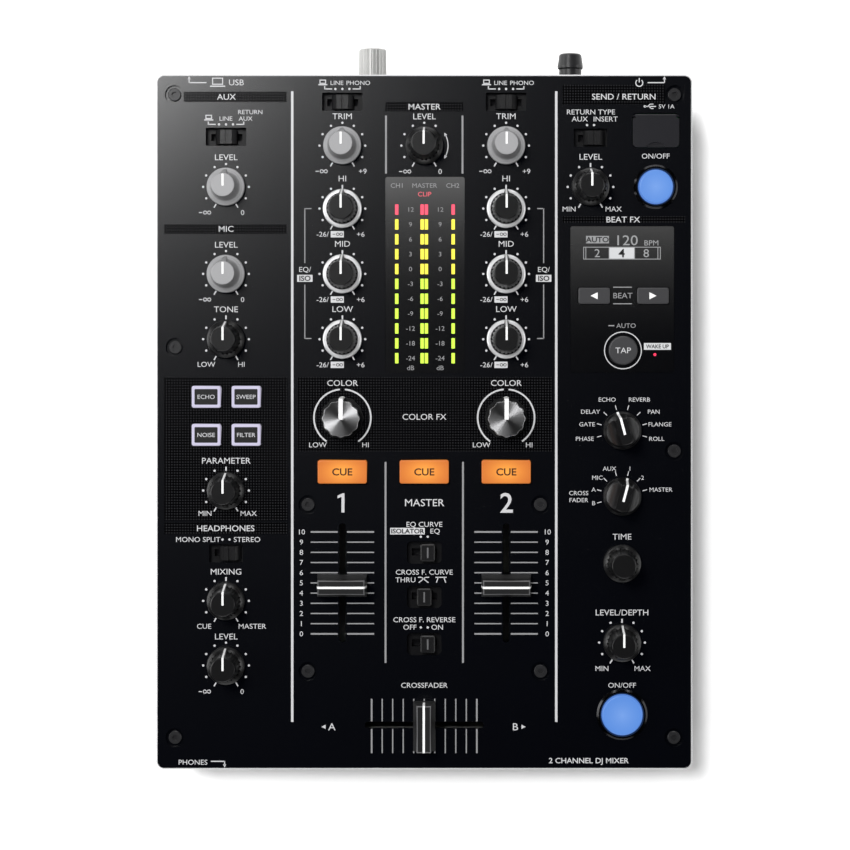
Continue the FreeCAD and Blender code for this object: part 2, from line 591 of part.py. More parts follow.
def rear_panel():
    """The flat plate at the back with a hole for every socket."""
    width, low, high = 2 * (CASE_X - SHEET) - 0.2, FOOT_H + SHEET + 0.1, PANEL_UNDER - 0.1
    plate = block(0, CASE_REAR - SHEET / 2, width, SHEET, low, high)
    y0, y1 = CASE_REAR - 5, CASE_REAR + 1
    cuts = [rod_y(x, z, 4.4, y0, y1) for x in RCA_PAIRS for z in RCA_ROWS]
    cuts += [rod_y(x, z, 4.9, y0, y1) for x, z in JACKS_REAR]
    cuts += [rod_y(x, z, 11.0, y0, y1) for x, z in XLR_REAR]
    cuts += [rod_y(x, z, SCREW_R + 0.1, y0, y1) for x, z in REAR_SCREWS]
    cuts.append(rod_y(DC_INLET[0], DC_INLET[1], 5.4, y0, y1))
    cuts.append(rod_y(GROUND_TERMINAL[0], GROUND_TERMINAL[1], 2.1, y0, y1))
    cuts.append(rod_y(CORD_HOOK[0], CORD_HOOK[1], 2.1, y0, y1))
    cuts.append(plate_y(USB_B_PORT[0], USB_B_PORT[1], 12.2, 11.2, y0, y1))
    cuts.append(plate_y(POWER_KEY[0], POWER_KEY[1], POWER_W + 0.6, POWER_H + 0.6, y0, y1))
    cuts += [drum(x, y, SCREW_R + 0.2, PANEL_UNDER - 8, PANEL_UNDER + 1) for x, y in PANEL_SCREWS if y > 140]
    return group([plate.cut(cuts)])


def rubber_feet():
    """Four round feet, hollowed underneath for their screws."""
    profile = [(SCREW_R + 0.2, 4.0), (4.0, 4.0), (4.0, 0.0), (9.2, 0.0), (9.8, 0.6), (10.8, FOOT_H - 0.5),
               (10.8, FOOT_H), (SCREW_R + 0.2, FOOT_H), (SCREW_R + 0.2, 4.0)]
    foot = Part.Face(Part.makePolygon([Vector(r, 0, z) for r, z in profile]))
    foot = foot.revolve(Vector(0, 0, 0), Vector(0, 0, 1), 360)
    return group([placed(foot, x, y, 0) for x, y in FEET])


def socket_screw():
    """A cap screw that stands upright with its seat at the origin and its shank below."""
    head = Part.makeCylinder(SCREW_HEAD_R, SCREW_SINK - 0.1)
    head = head.makeChamfer(0.25, edges_at(head, SCREW_SINK - 0.1))
    shank = Part.makeCylinder(SCREW_R - 0.05, 7.0, Vector(0, 0, -7.0))
    corners = [Vector(1.3 * math.cos(math.radians(60 * i)), 1.3 * math.sin(math.radians(60 * i)), 0.3)
               for i in range(6)]
    return head.fuse(shank).removeSplitter().cut(prism(corners, Vector(0, 0, 3)))


def screws():
    """The faceplate screws, the rear plate screws and the foot screws."""
    screw = socket_screw()
    items = [placed(screw, x, y, PANEL_TOP - SCREW_SINK) for x, y in PANEL_SCREWS]
    for x, z in REAR_SCREWS:
        item = screw.copy()
        item.rotate(Vector(0, 0, 0), Vector(1, 0, 0), -90)
        item.translate(Vector(x, CASE_REAR + MID_Y, z))
        items.append(item)
    for x, y in FEET:
        item = screw.copy()
        item.rotate(Vector(0, 0, 0), Vector(1, 0, 0), 180)
        item.translate(Vector(x, y + MID_Y, 4.0))
        items.append(item)
    return group(items)


# ================================================================ inside the case
def circuit_boards():
    """Control, fader, meter, main and jack boards, with the display module and the boards' spacers."""
    control = block(0, -2.0, 220.0, 284.0, CONTROL_BOARD_Z, CONTROL_TOP)
    control = control.cut(block(0, -90.0, 116.0, 124.0, CONTROL_BOARD_Z - 1, CONTROL_TOP + 1))
    fader_board = block(0, -75.0, 40.0, 60.0, CONTROL_BOARD_Z, CONTROL_TOP)
    x, y, width, depth = METER_WINDOW
    meter_board = block(x, y, width - 4, depth - 4, 84.0, 84.0 + BOARD_T)
    lamps = [block(lamp_x, y, 1.6, depth - 16, 84.0 + BOARD_T, 89.0) for lamp_x in (-11.8, -0.9, 0.9, 12.4)]
    screen = block(DISPLAY_WINDOW[0], 75.0, 40.0, 16.0, 84.0, 89.0)
    main = block(0, 5.0, 190.0, 190.0, MAIN_BOARD_Z, MAIN_BOARD_Z + BOARD_T)
    jack_board = plate_y(-2.0, 44.0, 206.0, 56.0, CASE_REAR - 34.0, CASE_REAR - 34.0 + BOARD_T)
    posts = [drum(px, py, 2.5, FOOT_H + SHEET, MAIN_BOARD_Z)
             for px in (-90.0, 90.0) for py in (-80.0, 5.0, 90.0)]
    posts += [drum(px, py, 2.5, CONTROL_TOP, PANEL_UNDER)
              for px in (-56.0, 56.0) for py in (-20.0, 50.0, 110.0)]
    return group([control, fader_board, meter_board, screen, main, jack_board] + lamps + posts)


def control_units():
    """The potentiometer, slide switch, key switch and power switch bodies under the faceplate."""
    units = []
    for x, y, style in KNOBS.values():
        body = rounded(x, y, 11.0, 12.0, 1.0, CONTROL_TOP, POT_TOP)
        collar = drum(x, y, BUSHING_R, POT_TOP, PANEL_UNDER - 0.3)
        bore = drum(x, y, SHAFT_R + 0.05, POT_TOP + 0.3, PANEL_UNDER + 1)
        units.append(body.fuse(collar).removeSplitter().cut(bore))
    for x, y, width, depth, style, rest in SWITCHES.values():
        body = block(x, y, width + 3.0, depth + 0.6, CONTROL_TOP, SWITCH_DECK_Z)
        units.append(body.cut(block(x, y, width - 4.0, 3.0, SWITCH_DECK_Z - 5.0, SWITCH_DECK_Z + 1)))
    keys = [key[:2] for key in RECT_KEYS.values()] + [key[:2] for key in ROUND_KEYS.values()]
    for x, y in keys:
        body = block(x, y, 6.0, 6.0, CONTROL_TOP, TACT_TOP_Z - 1.0)
        units.append(body.fuse(drum(x, y, 1.7, TACT_TOP_Z - 1.0, TACT_TOP_Z)))
    x, z = POWER_KEY
    inner = CASE_REAR - SHEET
    body = plate_y(x, z, 14.0, 12.0, inner - 26.0, inner - POWER_INSIDE - POWER_TRAVEL - 0.5)
    units.append(body)
    return group(units)


def fader_frame(x, y, along_x):
    """A steel channel that guides a fader's carriage."""
    size = (FADER_FRAME_L, FADER_FRAME_W) if along_x else (FADER_FRAME_W, FADER_FRAME_L)
    hollow = (FADER_FRAME_L - 10.0, 9.0) if along_x else (9.0, FADER_FRAME_L - 10.0)
    frame = block(x, y, size[0], size[1], CONTROL_BOARD_Z, FADER_FRAME_TOP)
    cavity = block(x, y, hollow[0], hollow[1], CONTROL_BOARD_Z + 1.2, FADER_FRAME_TOP - 1.2)
    slot = fader_slot(x, y, along_x, FADER_FRAME_TOP - 2, FADER_FRAME_TOP + 1, FADER_SLOT + 2, 3.2)
    return frame.cut([cavity, slot])


def fader_units():
    """The three fader frames on their steel bracket, which hangs from the faceplate on four posts."""
    bracket = block(0, -88.0, 112.0, 112.0, CONTROL_BOARD_Z - SHEET, CONTROL_BOARD_Z)
    posts = []
    for x, y in PANEL_SCREWS:
        if abs(x) < 100:
            post = drum(x, y, 3.2, CONTROL_BOARD_Z, PANEL_UNDER)
            posts.append(post.cut(drum(x, y, SCREW_R, PANEL_UNDER - 8, PANEL_UNDER + 1)))
    frames = [fader_frame(COL_CH1, ROW_FADER, False), fader_frame(COL_CH2, ROW_FADER, False),
              fader_frame(COL_MID, ROW_CROSS, True)]
    return group([bracket] + posts + frames)


# ================================================================ sockets
def turned_y(points, x, z, y, facing=1):
    """A solid of revolution about a front-to-back axis; its own height runs to the rear, or to the front."""
    shape = Part.Face(Part.makePolygon([Vector(r, 0, h) for r, h in points + points[:1]]))
    shape = shape.revolve(Vector(0, 0, 0), Vector(0, 0, 1), 360)
    shape.rotate(Vector(0, 0, 0), Vector(1, 0, 0), -90 * facing)
    shape.translate(Vector(x, y + MID_Y, z))
    return shape


def rca_sockets():
    """Twelve phono sockets in pairs."""
    profile = [(1.7, -1.0), (0, -1.0), (0, -11.0), (4.9, -11.0), (4.9, -SHEET), (4.2, -SHEET), (4.2, 0),
               (5.3, 0), (5.3, 1.6), (4.2, 1.9), (4.2, 7.6), (3.9, 7.9), (3.5, 7.9), (3.5, 6.9), (1.7, 6.9)]
    return group([turned_y(profile, x, z, CASE_REAR) for x in RCA_PAIRS for z in RCA_ROWS])


def jack_profile(bore, barrel, nut_r, nut_t, depth):
    """A threaded round socket with a nut, a bore and a closed inner end."""
    return [(bore, 0.8 + nut_t), (bore, 1.5 - depth), (0, 1.5 - depth), (0, -depth), (barrel + 3.0, -depth),
            (barrel + 3.0, -SHEET), (barrel, -SHEET), (barrel, 0), (nut_r, 0), (nut_r, nut_t - 0.3),
            (nut_r - 0.5, nut_t), (barrel - 0.3, nut_t), (barrel - 0.3, 0.8 + nut_t)]


def xlr_profile():
    """A round male socket's shell: a flange, a deep cup and a closed end."""
    return [(9.2, 1.8), (9.2, -15.0), (0, -15.0), (0, -20.0), (10.9, -20.0), (10.9, 0), (12.4, 0),
            (12.4, 1.2), (11.9, 1.8)]


def xlr_socket(x, z):
    """The shell and its three pins, which stand on the closed end."""
    pieces = [turned_y(xlr_profile(), x, z, CASE_REAR)]
    for angle in (90, 210, 330):
        px = x + 4.1 * math.cos(math.radians(angle))
        pz = z + 4.1 * math.sin(math.radians(angle))
        pieces.append(rod_y(px, pz, 1.2, CASE_REAR - 15.0, CASE_REAR - 4.0))
    return pieces


def box_socket(x, z, width, height, wall, depth):
    """A rectangular socket that opens to the rear."""
    shell = plate_y(x, z, width, height, CASE_REAR - depth, CASE_REAR + 0.6)
    cavity = plate_y(x, z, width - 2 * wall, height - 2 * wall, CASE_REAR - depth + 1.5, CASE_REAR + 2)
    return shell.cut(cavity)


def plug_sockets():
    """Jack, XLR, USB and power sockets, the ground stud and the hook for the power cord."""
    items = [turned_y(jack_profile(JACK_R, 4.8, 6.8, 2.2, 30.0), x, z, CASE_REAR) for x, z in JACKS_REAR]
    for x, z in XLR_REAR:
        items += xlr_socket(x, z)
    front = CASE_FRONT
    phones = [(JACK_R, 0.8), (JACK_R, -28.0), (0, -28.0), (0, -30.0), (8.5, -30.0), (8.5, -SHEET),
              (6.2, -SHEET), (6.2, 0.8)]
    mini = [(1.85, 0.8), (1.85, -13.0), (0, -13.0), (0, -15.0), (6.0, -15.0), (6.0, -SHEET),
            (4.2, -SHEET), (4.2, 0.8)]
    items.append(turned_y(phones, PHONES_JACK[0], PHONES_JACK[1], front, -1))
    items.append(turned_y(mini, MINI_JACK[0], MINI_JACK[1], front, -1))
    x, z = USB_B_PORT
    items.append(box_socket(x, z, 12.0, 11.0, 1.0, 16.0))
    items.append(plate_y(x, z, 5.6, 3.2, CASE_REAR - 14.5, CASE_REAR - 2.0))
    x, z = DC_INLET
    dc = turned_y([(2.9, 1.0), (2.9, -10.0), (0, -10.0), (0, -13.0), (5.3, -13.0), (5.3, 0), (6.0, 0),
                   (6.0, 1.0)], x, z, CASE_REAR)
    items += [dc, rod_y(x, z, 1.0, CASE_REAR - 10.0, CASE_REAR - 1.0)]
    x, y, width, depth = USB_COVER
    well = block(x, y, width - 2.0, depth - 2.0, CONTROL_TOP, PANEL_UNDER - 0.5)
    items.append(well.cut(block(x, y, 12.5, 5.2, CONTROL_TOP + 2.0, PANEL_UNDER)))
    items.append(block(x, y + 1.0, 11.0, 1.8, CONTROL_TOP + 2.0, PANEL_UNDER - 2.5))
    x, z = GROUND_TERMINAL
    stud = [(0, -4.0), (2.0, -4.0), (2.0, 0), (6.2, 0), (6.2, 1.4), (2.0, 1.4), (2.0, 14.5), (0, 14.5)]
    items.append(turned_y(stud, x, z, CASE_REAR))
    x, z = CORD_HOOK
    hook = [(0, -4.0), (2.0, -4.0), (2.0, 0), (4.9, 0), (4.9, 10.6), (5.55, 11.2), (5.55, 12.4), (4.9, 16.9),
            (4.3, 17.5), (0, 17.5)]
    items.append(turned_y(hook, x, z, CASE_REAR))
    return group(items)


def ground_terminal():
    """The knurled thumb nut of the ground stud."""
    reach = PANEL_D / 2 + REAR_REACH - CASE_REAR
    profile = [(0, 15.5), (2.05, 15.5), (2.05, 1.8), (5.6, 1.8), (6.0, 2.2), (6.0, 5.0), (4.7, 5.4),
               (4.7, 7.4), (6.0, 7.8), (6.0, reach - 0.6), (5.4, reach), (0, reach)]
    nut = turned_y(profile, GROUND_TERMINAL[0], GROUND_TERMINAL[1], CASE_REAR)
    cuts = []
    for index in range(KNURL_COUNT):
        angle = 2 * math.pi * index / KNURL_COUNT
        x = GROUND_TERMINAL[0] + 6.2 * math.cos(angle)
        z = GROUND_TERMINAL[1] + 6.2 * math.sin(angle)
        cuts.append(rod_y(x, z, 0.45, CASE_REAR + 7.0, CASE_REAR + reach + 1))
    return group([nut.cut(cuts)])


def power_button():
    """The push key at the back, with its stem."""
    x, z = POWER_KEY
    y0, y1 = CASE_REAR - SHEET - POWER_INSIDE, CASE_REAR + POWER_OUT
    key = plate_y(x, z, POWER_W, POWER_H, y0, y1)
    rim = [edge for edge in key.Edges if edge.BoundBox.YMin > y1 + MID_Y - 0.001]
    return group([key.makeFillet(0.8, rim)])


# ================================================================ build
os.makedirs("parts", exist_ok=True)

for name, (x, y, style) in KNOBS.items():
    if style == "eq":
        knob = eq_knob()
    elif style == "color":
        knob = color_knob()
    elif style == "selector":
        knob = selector_knob()
    else:
        knob = level_knob(style == "ribbed" or style == "encoder", style != "encoder")
    save(name, placed(knob, x, y, PANEL_TOP, POINTER_ANGLE.get(name, 0.0)))

for name, (x, y, width, depth, style, rest) in SWITCHES.items():
    save(name, placed(SLIDERS[style](), x + rest, y, 0))

for name, (x, y, width, depth, rise) in RECT_KEYS.items():
    save(name, rect_key(x, y, width, depth, rise))

for name, (x, y, radius, rise, bezel) in ROUND_KEYS.items():
    save(name, round_key(x, y, radius, rise))

save("ch1_fader", placed(fader(), COL_CH1, CHANNEL_FADER_REST, 0))
save("ch2_fader", placed(fader(), COL_CH2, CHANNEL_FADER_REST, 0))
save("crossfader", placed(fader(), COL_MID, ROW_CROSS, 0, 90))

for make in (top_panel, case_tub, rear_panel, windows, button_bezels, usb_cover, rubber_feet, screws,
             circuit_boards, control_units, fader_units, rca_sockets, plug_sockets, ground_terminal,
             power_button):
    save(make.__name__, make())
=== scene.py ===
import math

import bpy
from mathutils import Matrix, Vector


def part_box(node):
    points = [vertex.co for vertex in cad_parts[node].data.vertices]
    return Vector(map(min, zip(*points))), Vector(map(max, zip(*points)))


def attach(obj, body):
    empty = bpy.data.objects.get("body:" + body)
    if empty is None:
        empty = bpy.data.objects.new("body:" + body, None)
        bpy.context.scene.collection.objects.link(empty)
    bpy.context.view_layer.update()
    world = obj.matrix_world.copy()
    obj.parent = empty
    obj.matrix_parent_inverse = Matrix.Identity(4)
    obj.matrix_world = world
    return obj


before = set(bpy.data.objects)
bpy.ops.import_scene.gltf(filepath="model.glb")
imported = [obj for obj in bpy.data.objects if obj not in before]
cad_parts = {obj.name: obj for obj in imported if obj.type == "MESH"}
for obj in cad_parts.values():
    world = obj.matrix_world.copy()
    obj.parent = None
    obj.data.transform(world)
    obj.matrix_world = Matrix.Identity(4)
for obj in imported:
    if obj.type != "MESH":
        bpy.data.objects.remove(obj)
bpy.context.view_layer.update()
MM = 0.001

# The faceplate's upper face and middle, which every printed mark is measured from, in millimetres.
PLATE_LOW, PLATE_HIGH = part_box("top_panel")
PLATE_X = (PLATE_LOW.x + PLATE_HIGH.x) / 2 / MM
PLATE_Y = (PLATE_LOW.y + PLATE_HIGH.y) / 2 / MM
PLATE_Z = PLATE_HIGH.z / MM
WINDOW_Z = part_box("windows")[1].z / MM
INK = 0.05          # height of a printed mark above its surface, in millimetres

# Groups of nodes that share marks or finishes.
FADERS = ("crossfader", "ch1_fader", "ch2_fader")
COLOR_KNOBS = ("ch1_color_knob", "ch2_color_knob")
CUE_KEYS = ("ch1_cue_button", "master_cue_button", "ch2_cue_button")
EFFECT_KEYS = {"echo_button": "ECHO", "sweep_button": "SWEEP", "noise_button": "NOISE",
               "filter_button": "FILTER"}


def centre(node):
    """Middle of a CAD node, from the faceplate's middle, in millimetres."""
    low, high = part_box(node)
    return (low.x + high.x) / 2 / MM - PLATE_X, (low.y + high.y) / 2 / MM - PLATE_Y


def top(node):
    """Height of a CAD node's highest point above the table, in millimetres."""
    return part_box(node)[1].z / MM


def around(x, y, radius, angle):
    """Point at a radius and an angle in degrees, clockwise from the rear."""
    a = math.radians(angle)
    return x + radius * math.sin(a), y + radius * math.cos(a)


# ================================================================ materials
def new_material(name):
    """An empty node material, with its tree and its shader."""
    material = bpy.data.materials.new(name)
    material.use_nodes = True
    tree = material.node_tree
    return material, tree, tree.nodes["Principled BSDF"]


def ramp_between(tree, source, low, high):
    """Maps a 0 to 1 value to a range of values."""
    node = tree.nodes.new("ShaderNodeMapRange")
    node.inputs["To Min"].default_value = low
    node.inputs["To Max"].default_value = high
    tree.links.new(source, node.inputs["Value"])
    return node.outputs["Result"]


def blend(tree, factor, first, second, target):
    """Mixes two colours by factor and feeds the result to target."""
    mix = tree.nodes.new("ShaderNodeMix")
    mix.data_type = "RGBA"
    mix.inputs["A"].default_value = (*first, 1)
    mix.inputs["B"].default_value = (*second, 1)
    tree.links.new(factor, mix.inputs["Factor"])
    tree.links.new(mix.outputs["Result"], target)


def vector_math(tree, operation, source, value=None):
    """One step of vector arithmetic on source."""
    node = tree.nodes.new("ShaderNodeVectorMath")
    node.operation = operation
    if value is not None:
        node.inputs[1].default_value = value
    tree.links.new(source, node.inputs[0])
    return node


def noise(tree, scale, detail=3.0, stretch=(1, 1, 1)):
    """Noise in object coordinates; scale is in cycles per metre."""
    place = tree.nodes.new("ShaderNodeTexCoord")
    mapping = tree.nodes.new("ShaderNodeMapping")
    mapping.inputs["Scale"].default_value = stretch
    node = tree.nodes.new("ShaderNodeTexNoise")
    node.inputs["Scale"].default_value = scale
    node.inputs["Detail"].default_value = detail
    tree.links.new(place.outputs["Object"], mapping.inputs["Vector"])
    tree.links.new(mapping.outputs["Vector"], node.inputs["Vector"])
    return node.outputs["Fac"]


TINT_SCALE = 22.0       # cycles per metre of the slow drift in colour
BUMP_DEPTH = 0.0002     # metres


def finish(name, color, rough, metal=0.0, grain=900.0, bump=0.02, tint=0.12, spread=0.06,
           stretch=(1, 1, 1), specular=0.5, glow=None, glow_strength=0.0):
    """A procedural finish: a base colour that drifts a little by tint, roughness that varies by
    spread, and a fine moulded or brushed grain in cycles per metre."""
    material, tree, shader = new_material(name)
    shader.inputs["Metallic"].default_value = metal
    shader.inputs["Specular IOR Level"].default_value = specular
    darker = [c * (1 - tint) for c in color]
    lighter = [min(1, c * (1 + tint)) for c in color]
    blend(tree, noise(tree, TINT_SCALE), darker, lighter, shader.inputs["Base Color"])
    fine = noise(tree, grain, 2.0, stretch)
    uneven = ramp_between(tree, fine, rough - spread, rough + spread)
    tree.links.new(uneven, shader.inputs["Roughness"])
    height = tree.nodes.new("ShaderNodeBump")
    height.inputs["Strength"].default_value = bump
    height.inputs["Distance"].default_value = BUMP_DEPTH
    tree.links.new(fine, height.inputs["Height"])
    tree.links.new(height.outputs["Normal"], shader.inputs["Normal"])
    if glow:
        shader.inputs["Emission Color"].default_value = list(glow) + [1]
        shader.inputs["Emission Strength"].default_value = glow_strength
    return material


def dotted_ground():
    """Black print with a close square grid of grey dots."""
    material, tree, shader = new_material("dotted_ground")
    place = tree.nodes.new("ShaderNodeTexCoord")
    pitch = 1.17 * MM
    scale = vector_math(tree, "SCALE", place.outputs["Object"])
    scale.inputs["Scale"].default_value = 1 / pitch
    cell = vector_math(tree, "FRACTION", scale.outputs["Vector"])
    shift = vector_math(tree, "SUBTRACT", cell.outputs["Vector"], (0.5, 0.5, 0.0))
    flat = vector_math(tree, "MULTIPLY", shift.outputs["Vector"], (1, 1, 0))
    length = vector_math(tree, "LENGTH", flat.outputs["Vector"])
    edge = tree.nodes.new("ShaderNodeMapRange")
    edge.inputs["From Min"].default_value = 0.30
    edge.inputs["From Max"].default_value = 0.22
    tree.links.new(length.outputs["Value"], edge.inputs["Value"])
    ground_black, dot_grey = (0.0002, 0.0002, 0.0004), (0.015, 0.015, 0.0165)
    blend(tree, edge.outputs["Result"], ground_black, dot_grey, shader.inputs["Base Color"])
    shader.inputs["Roughness"].default_value = 0.24
    shader.inputs["Specular IOR Level"].default_value = 0.14
    return material


SMOKE = (0.0002, 0.0003, 0.0008)    # colour of the smoked acrylic

M = {
    "plate": finish("plate_lacquer", (0.0002, 0.0004, 0.0013), 0.234, grain=1500, bump=0.004, spread=0.01,
                    specular=0.75),
    "rim": finish("plate_rim", (0.62, 0.62, 0.63), 0.28, metal=1.0, grain=2500, bump=0.02,
                  stretch=(1, 1, 8)),
    "case": finish("case_powder_coat", (0.012, 0.012, 0.013), 0.48, grain=2600, bump=0.30, spread=0.08),
    "window": finish("smoked_acrylic", SMOKE, 0.234, grain=300, bump=0.004, spread=0.01,
                     specular=0.8),
    "bezel": finish("dark_chrome", (0.12, 0.12, 0.125), 0.16, metal=1.0, grain=1800, bump=0.01,
                    spread=0.03),
    "rubber": finish("foot_rubber", (0.012, 0.012, 0.012), 0.75, grain=3200, bump=0.35),
    "screw": finish("black_oxide", (0.012, 0.012, 0.013), 0.34, grain=2600, bump=0.08, specular=0.5),
    "board": finish("board_mask", (0.02, 0.13, 0.05), 0.40, grain=700, bump=0.05),
    "control": finish("control_moulding", (0.003, 0.003, 0.0035), 0.40, grain=2400, bump=0.08,
                      specular=0.3),
    "zinc": finish("zinc_plate", (0.55, 0.55, 0.54), 0.36, metal=1.0, grain=240, bump=0.05,
                   stretch=(1, 9, 1)),
    "rca": finish("plated_brass", (0.70, 0.68, 0.62), 0.22, metal=1.0, grain=1500, bump=0.02),
    "rca_white": finish("socket_white", (0.75, 0.75, 0.73), 0.45, grain=2000, bump=0.04),
    "rca_red": finish("socket_red", (0.55, 0.02, 0.015), 0.45, grain=2000, bump=0.04),
    "socket": finish("socket_moulding", (0.015, 0.015, 0.016), 0.42, grain=2600, bump=0.10),
    "nut": finish("plated_nut", (0.55, 0.55, 0.56), 0.30, metal=1.0, grain=1500, bump=0.03),
    "cover": finish("cover_moulding", (0.007, 0.007, 0.009), 0.36, grain=2400, bump=0.06),
    "terminal": finish("turned_terminal", (0.46, 0.46, 0.45), 0.46, metal=0.7, grain=1800, bump=0.08,
                       stretch=(1, 14, 1)),
    "hook": finish("hook_moulding", (0.011, 0.011, 0.012), 0.38, grain=2400, bump=0.05),
    "knob": finish("knob_soft_black", (0.0035, 0.0035, 0.0038), 0.31, grain=2800, bump=0.08, specular=0.5),
    "grey": finish("knob_grey", (0.23, 0.23, 0.235), 0.42, grain=2600, bump=0.05),
    "ring": finish("ring_silver", (0.66, 0.66, 0.67), 0.34, metal=0.55, grain=2200, bump=0.01, tint=0.03),
    "slider": finish("slider_moulding", (0.0045, 0.0045, 0.005), 0.34, grain=2400, bump=0.08),
    "fader": finish("fader_moulding", (0.010, 0.010, 0.0105), 0.34, grain=2400, bump=0.07),
    # Painted highlight: this lighter grey on the fader bevels and on the switch lines stands for light
    # caught on their edges.
    "bevel": finish("fader_bevel_painted_highlight", (0.085, 0.085, 0.088), 0.36, grain=2400, bump=0.05),
    "rod": finish("fader_steel", (0.5, 0.5, 0.5), 0.3, metal=1.0, grain=1500, bump=0.03),
    "white": finish("white_ink", (0.42, 0.42, 0.43), 0.45, grain=3000, bump=0.02, tint=0.04),
    "dim": finish("grey_ink", (0.20, 0.20, 0.205), 0.45, grain=3000, bump=0.02, tint=0.04),
    "pointer": finish("pointer_white", (0.72, 0.72, 0.72), 0.40, grain=3000, bump=0.02, tint=0.03),
    "chip": finish("chip_ink", (0.46, 0.46, 0.47), 0.45, grain=3000, bump=0.02, tint=0.04),
    "black": finish("black_ink", (0.004, 0.004, 0.004), 0.45, grain=3000, bump=0.03),
    "red": finish("red_ink", (0.66, 0.10, 0.13), 0.45, grain=3000, bump=0.03),
    "strip": dotted_ground(),
    "key": finish("key_moulding", (0.030, 0.030, 0.032), 0.42, grain=2400, bump=0.08),
    "orange": finish("lit_orange", (0.20, 0.040, 0.006), 0.42, grain=1400, bump=0.03),
    "blue": finish("lit_blue", (0.02, 0.06, 0.14), 0.38, grain=1400, bump=0.03),
    "brown": finish("legend_brown", (0.035, 0.010, 0.003), 0.5, grain=3000, bump=0.02),
    "frame": finish("lit_frame", (0.20, 0.19, 0.26), 0.40, grain=1400, bump=0.02,
                    glow=(0.75, 0.71, 0.87), glow_strength=0.42),
    "lit_text": finish("lit_legend", (0.30, 0.30, 0.30), 0.4, glow=(0.9, 0.9, 1), glow_strength=0.22),
    "led_red": finish("led_red", (0.3, 0.02, 0.04), 0.3, glow=(0.95, 0.10, 0.16), glow_strength=0.95),
    "led_yellow": finish("led_yellow", (0.3, 0.26, 0.02), 0.3, glow=(1.0, 0.86, 0.08), glow_strength=0.95),
    "led_green": finish("led_green", (0.18, 0.3, 0.02), 0.3, glow=(0.62, 0.95, 0.08), glow_strength=0.9),
    "lamp": finish("lamp_red", (0.3, 0.01, 0.03), 0.25, glow=(0.9, 0.05, 0.12), glow_strength=0.9),
    "lcd": finish("lcd_lit", (0.10, 0.10, 0.10), 0.4, glow=(0.95, 0.97, 1.0), glow_strength=0.22),
    "lcd_bright": finish("lcd_bright", (0.20, 0.20, 0.20), 0.4, glow=(0.95, 0.97, 1.0), glow_strength=0.42),
    "spun": finish("spun_metal", (0.56, 0.56, 0.57), 0.34, metal=1.0, grain=1800, bump=0.01, tint=0.03),
}


def glow_from_middle(name, node, colour, edge_colour, strength, reach, wide=1.0):
    """A lit key's finish: bright over the lamp under its middle and fading within reach
    millimetres. Returns the new material's name."""
    material = M[name].copy()
    material.name = f"{name}_{node}"
    tree = material.node_tree
    low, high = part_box(node)
    place = tree.nodes.new("ShaderNodeTexCoord")
    mapping = tree.nodes.new("ShaderNodeMapping")
    scale_x, scale_y = 1 / (reach * wide * MM), 1 / (reach * MM)
    mapping.inputs["Location"].default_value = (-(low.x + high.x) / 2 * scale_x,
                                                -(low.y + high.y) / 2 * scale_y, 0)
    mapping.inputs["Scale"].default_value = (scale_x, scale_y, 0)
    tree.links.new(place.outputs["Object"], mapping.inputs["Vector"])
    spot = tree.nodes.new("ShaderNodeTexGradient")
    spot.gradient_type = "QUADRATIC_SPHERE"
    tree.links.new(mapping.outputs["Vector"], spot.inputs["Vector"])
    shader = tree.nodes["Principled BSDF"]
    blend(tree, spot.outputs["Fac"], edge_colour, colour, shader.inputs["Emission Color"])
    shader.inputs["Emission Strength"].default_value = strength
    M[material.name] = material
    return material.name


def pane_with_painted_reflection(name, low_y, high_y, painted_reflection_peak, steepness):
    """A smoked pane painted lighter towards its rear end: a painted reflection of the light at the upper
    left, not a tint of the acrylic. The ends are measured from the faceplate's middle, in millimetres."""
    material = M["window"].copy()
    material.name = name
    tree = material.node_tree
    place = tree.nodes.new("ShaderNodeTexCoord")
    parts = tree.nodes.new("ShaderNodeSeparateXYZ")
    tree.links.new(place.outputs["Object"], parts.inputs["Vector"])
    along = tree.nodes.new("ShaderNodeMapRange")
    along.inputs["From Min"].default_value = (PLATE_Y + low_y) * MM
    along.inputs["From Max"].default_value = (PLATE_Y + high_y) * MM
    tree.links.new(parts.outputs["Y"], along.inputs["Value"])
    curve = tree.nodes.new("ShaderNodeMath")
    curve.operation = "POWER"
    curve.inputs[1].default_value = steepness
    tree.links.new(along.outputs["Result"], curve.inputs[0])
    shader = tree.nodes["Principled BSDF"]
    blend(tree, curve.outputs["Value"], SMOKE, (painted_reflection_peak,) * 3, shader.inputs["Base Color"])
    M[name] = material


def radial_brushing(name, amount):
    """Turned metal: the highlight spreads across the tool marks that circle the axis."""
    tree = M[name].node_tree
    shader = tree.nodes["Principled BSDF"]
    tangent = tree.nodes.new("ShaderNodeTangent")
    tangent.direction_type = "RADIAL"
    tangent.axis = "Z"
    tree.links.new(tangent.outputs["Tangent"], shader.inputs["Tangent"])
    shader.inputs["Anisotropic"].default_value = amount


radial_brushing("spun", 0.85)
# Painted reflection: both panes are painted lighter towards the rear, where the light at the upper left
# reflects in them.
pane_with_painted_reflection("meter_pane", 21.0, 105.0, 0.062, 4.0)
pane_with_painted_reflection("display_pane", 21.2, 84.0, 0.034, 3.0)


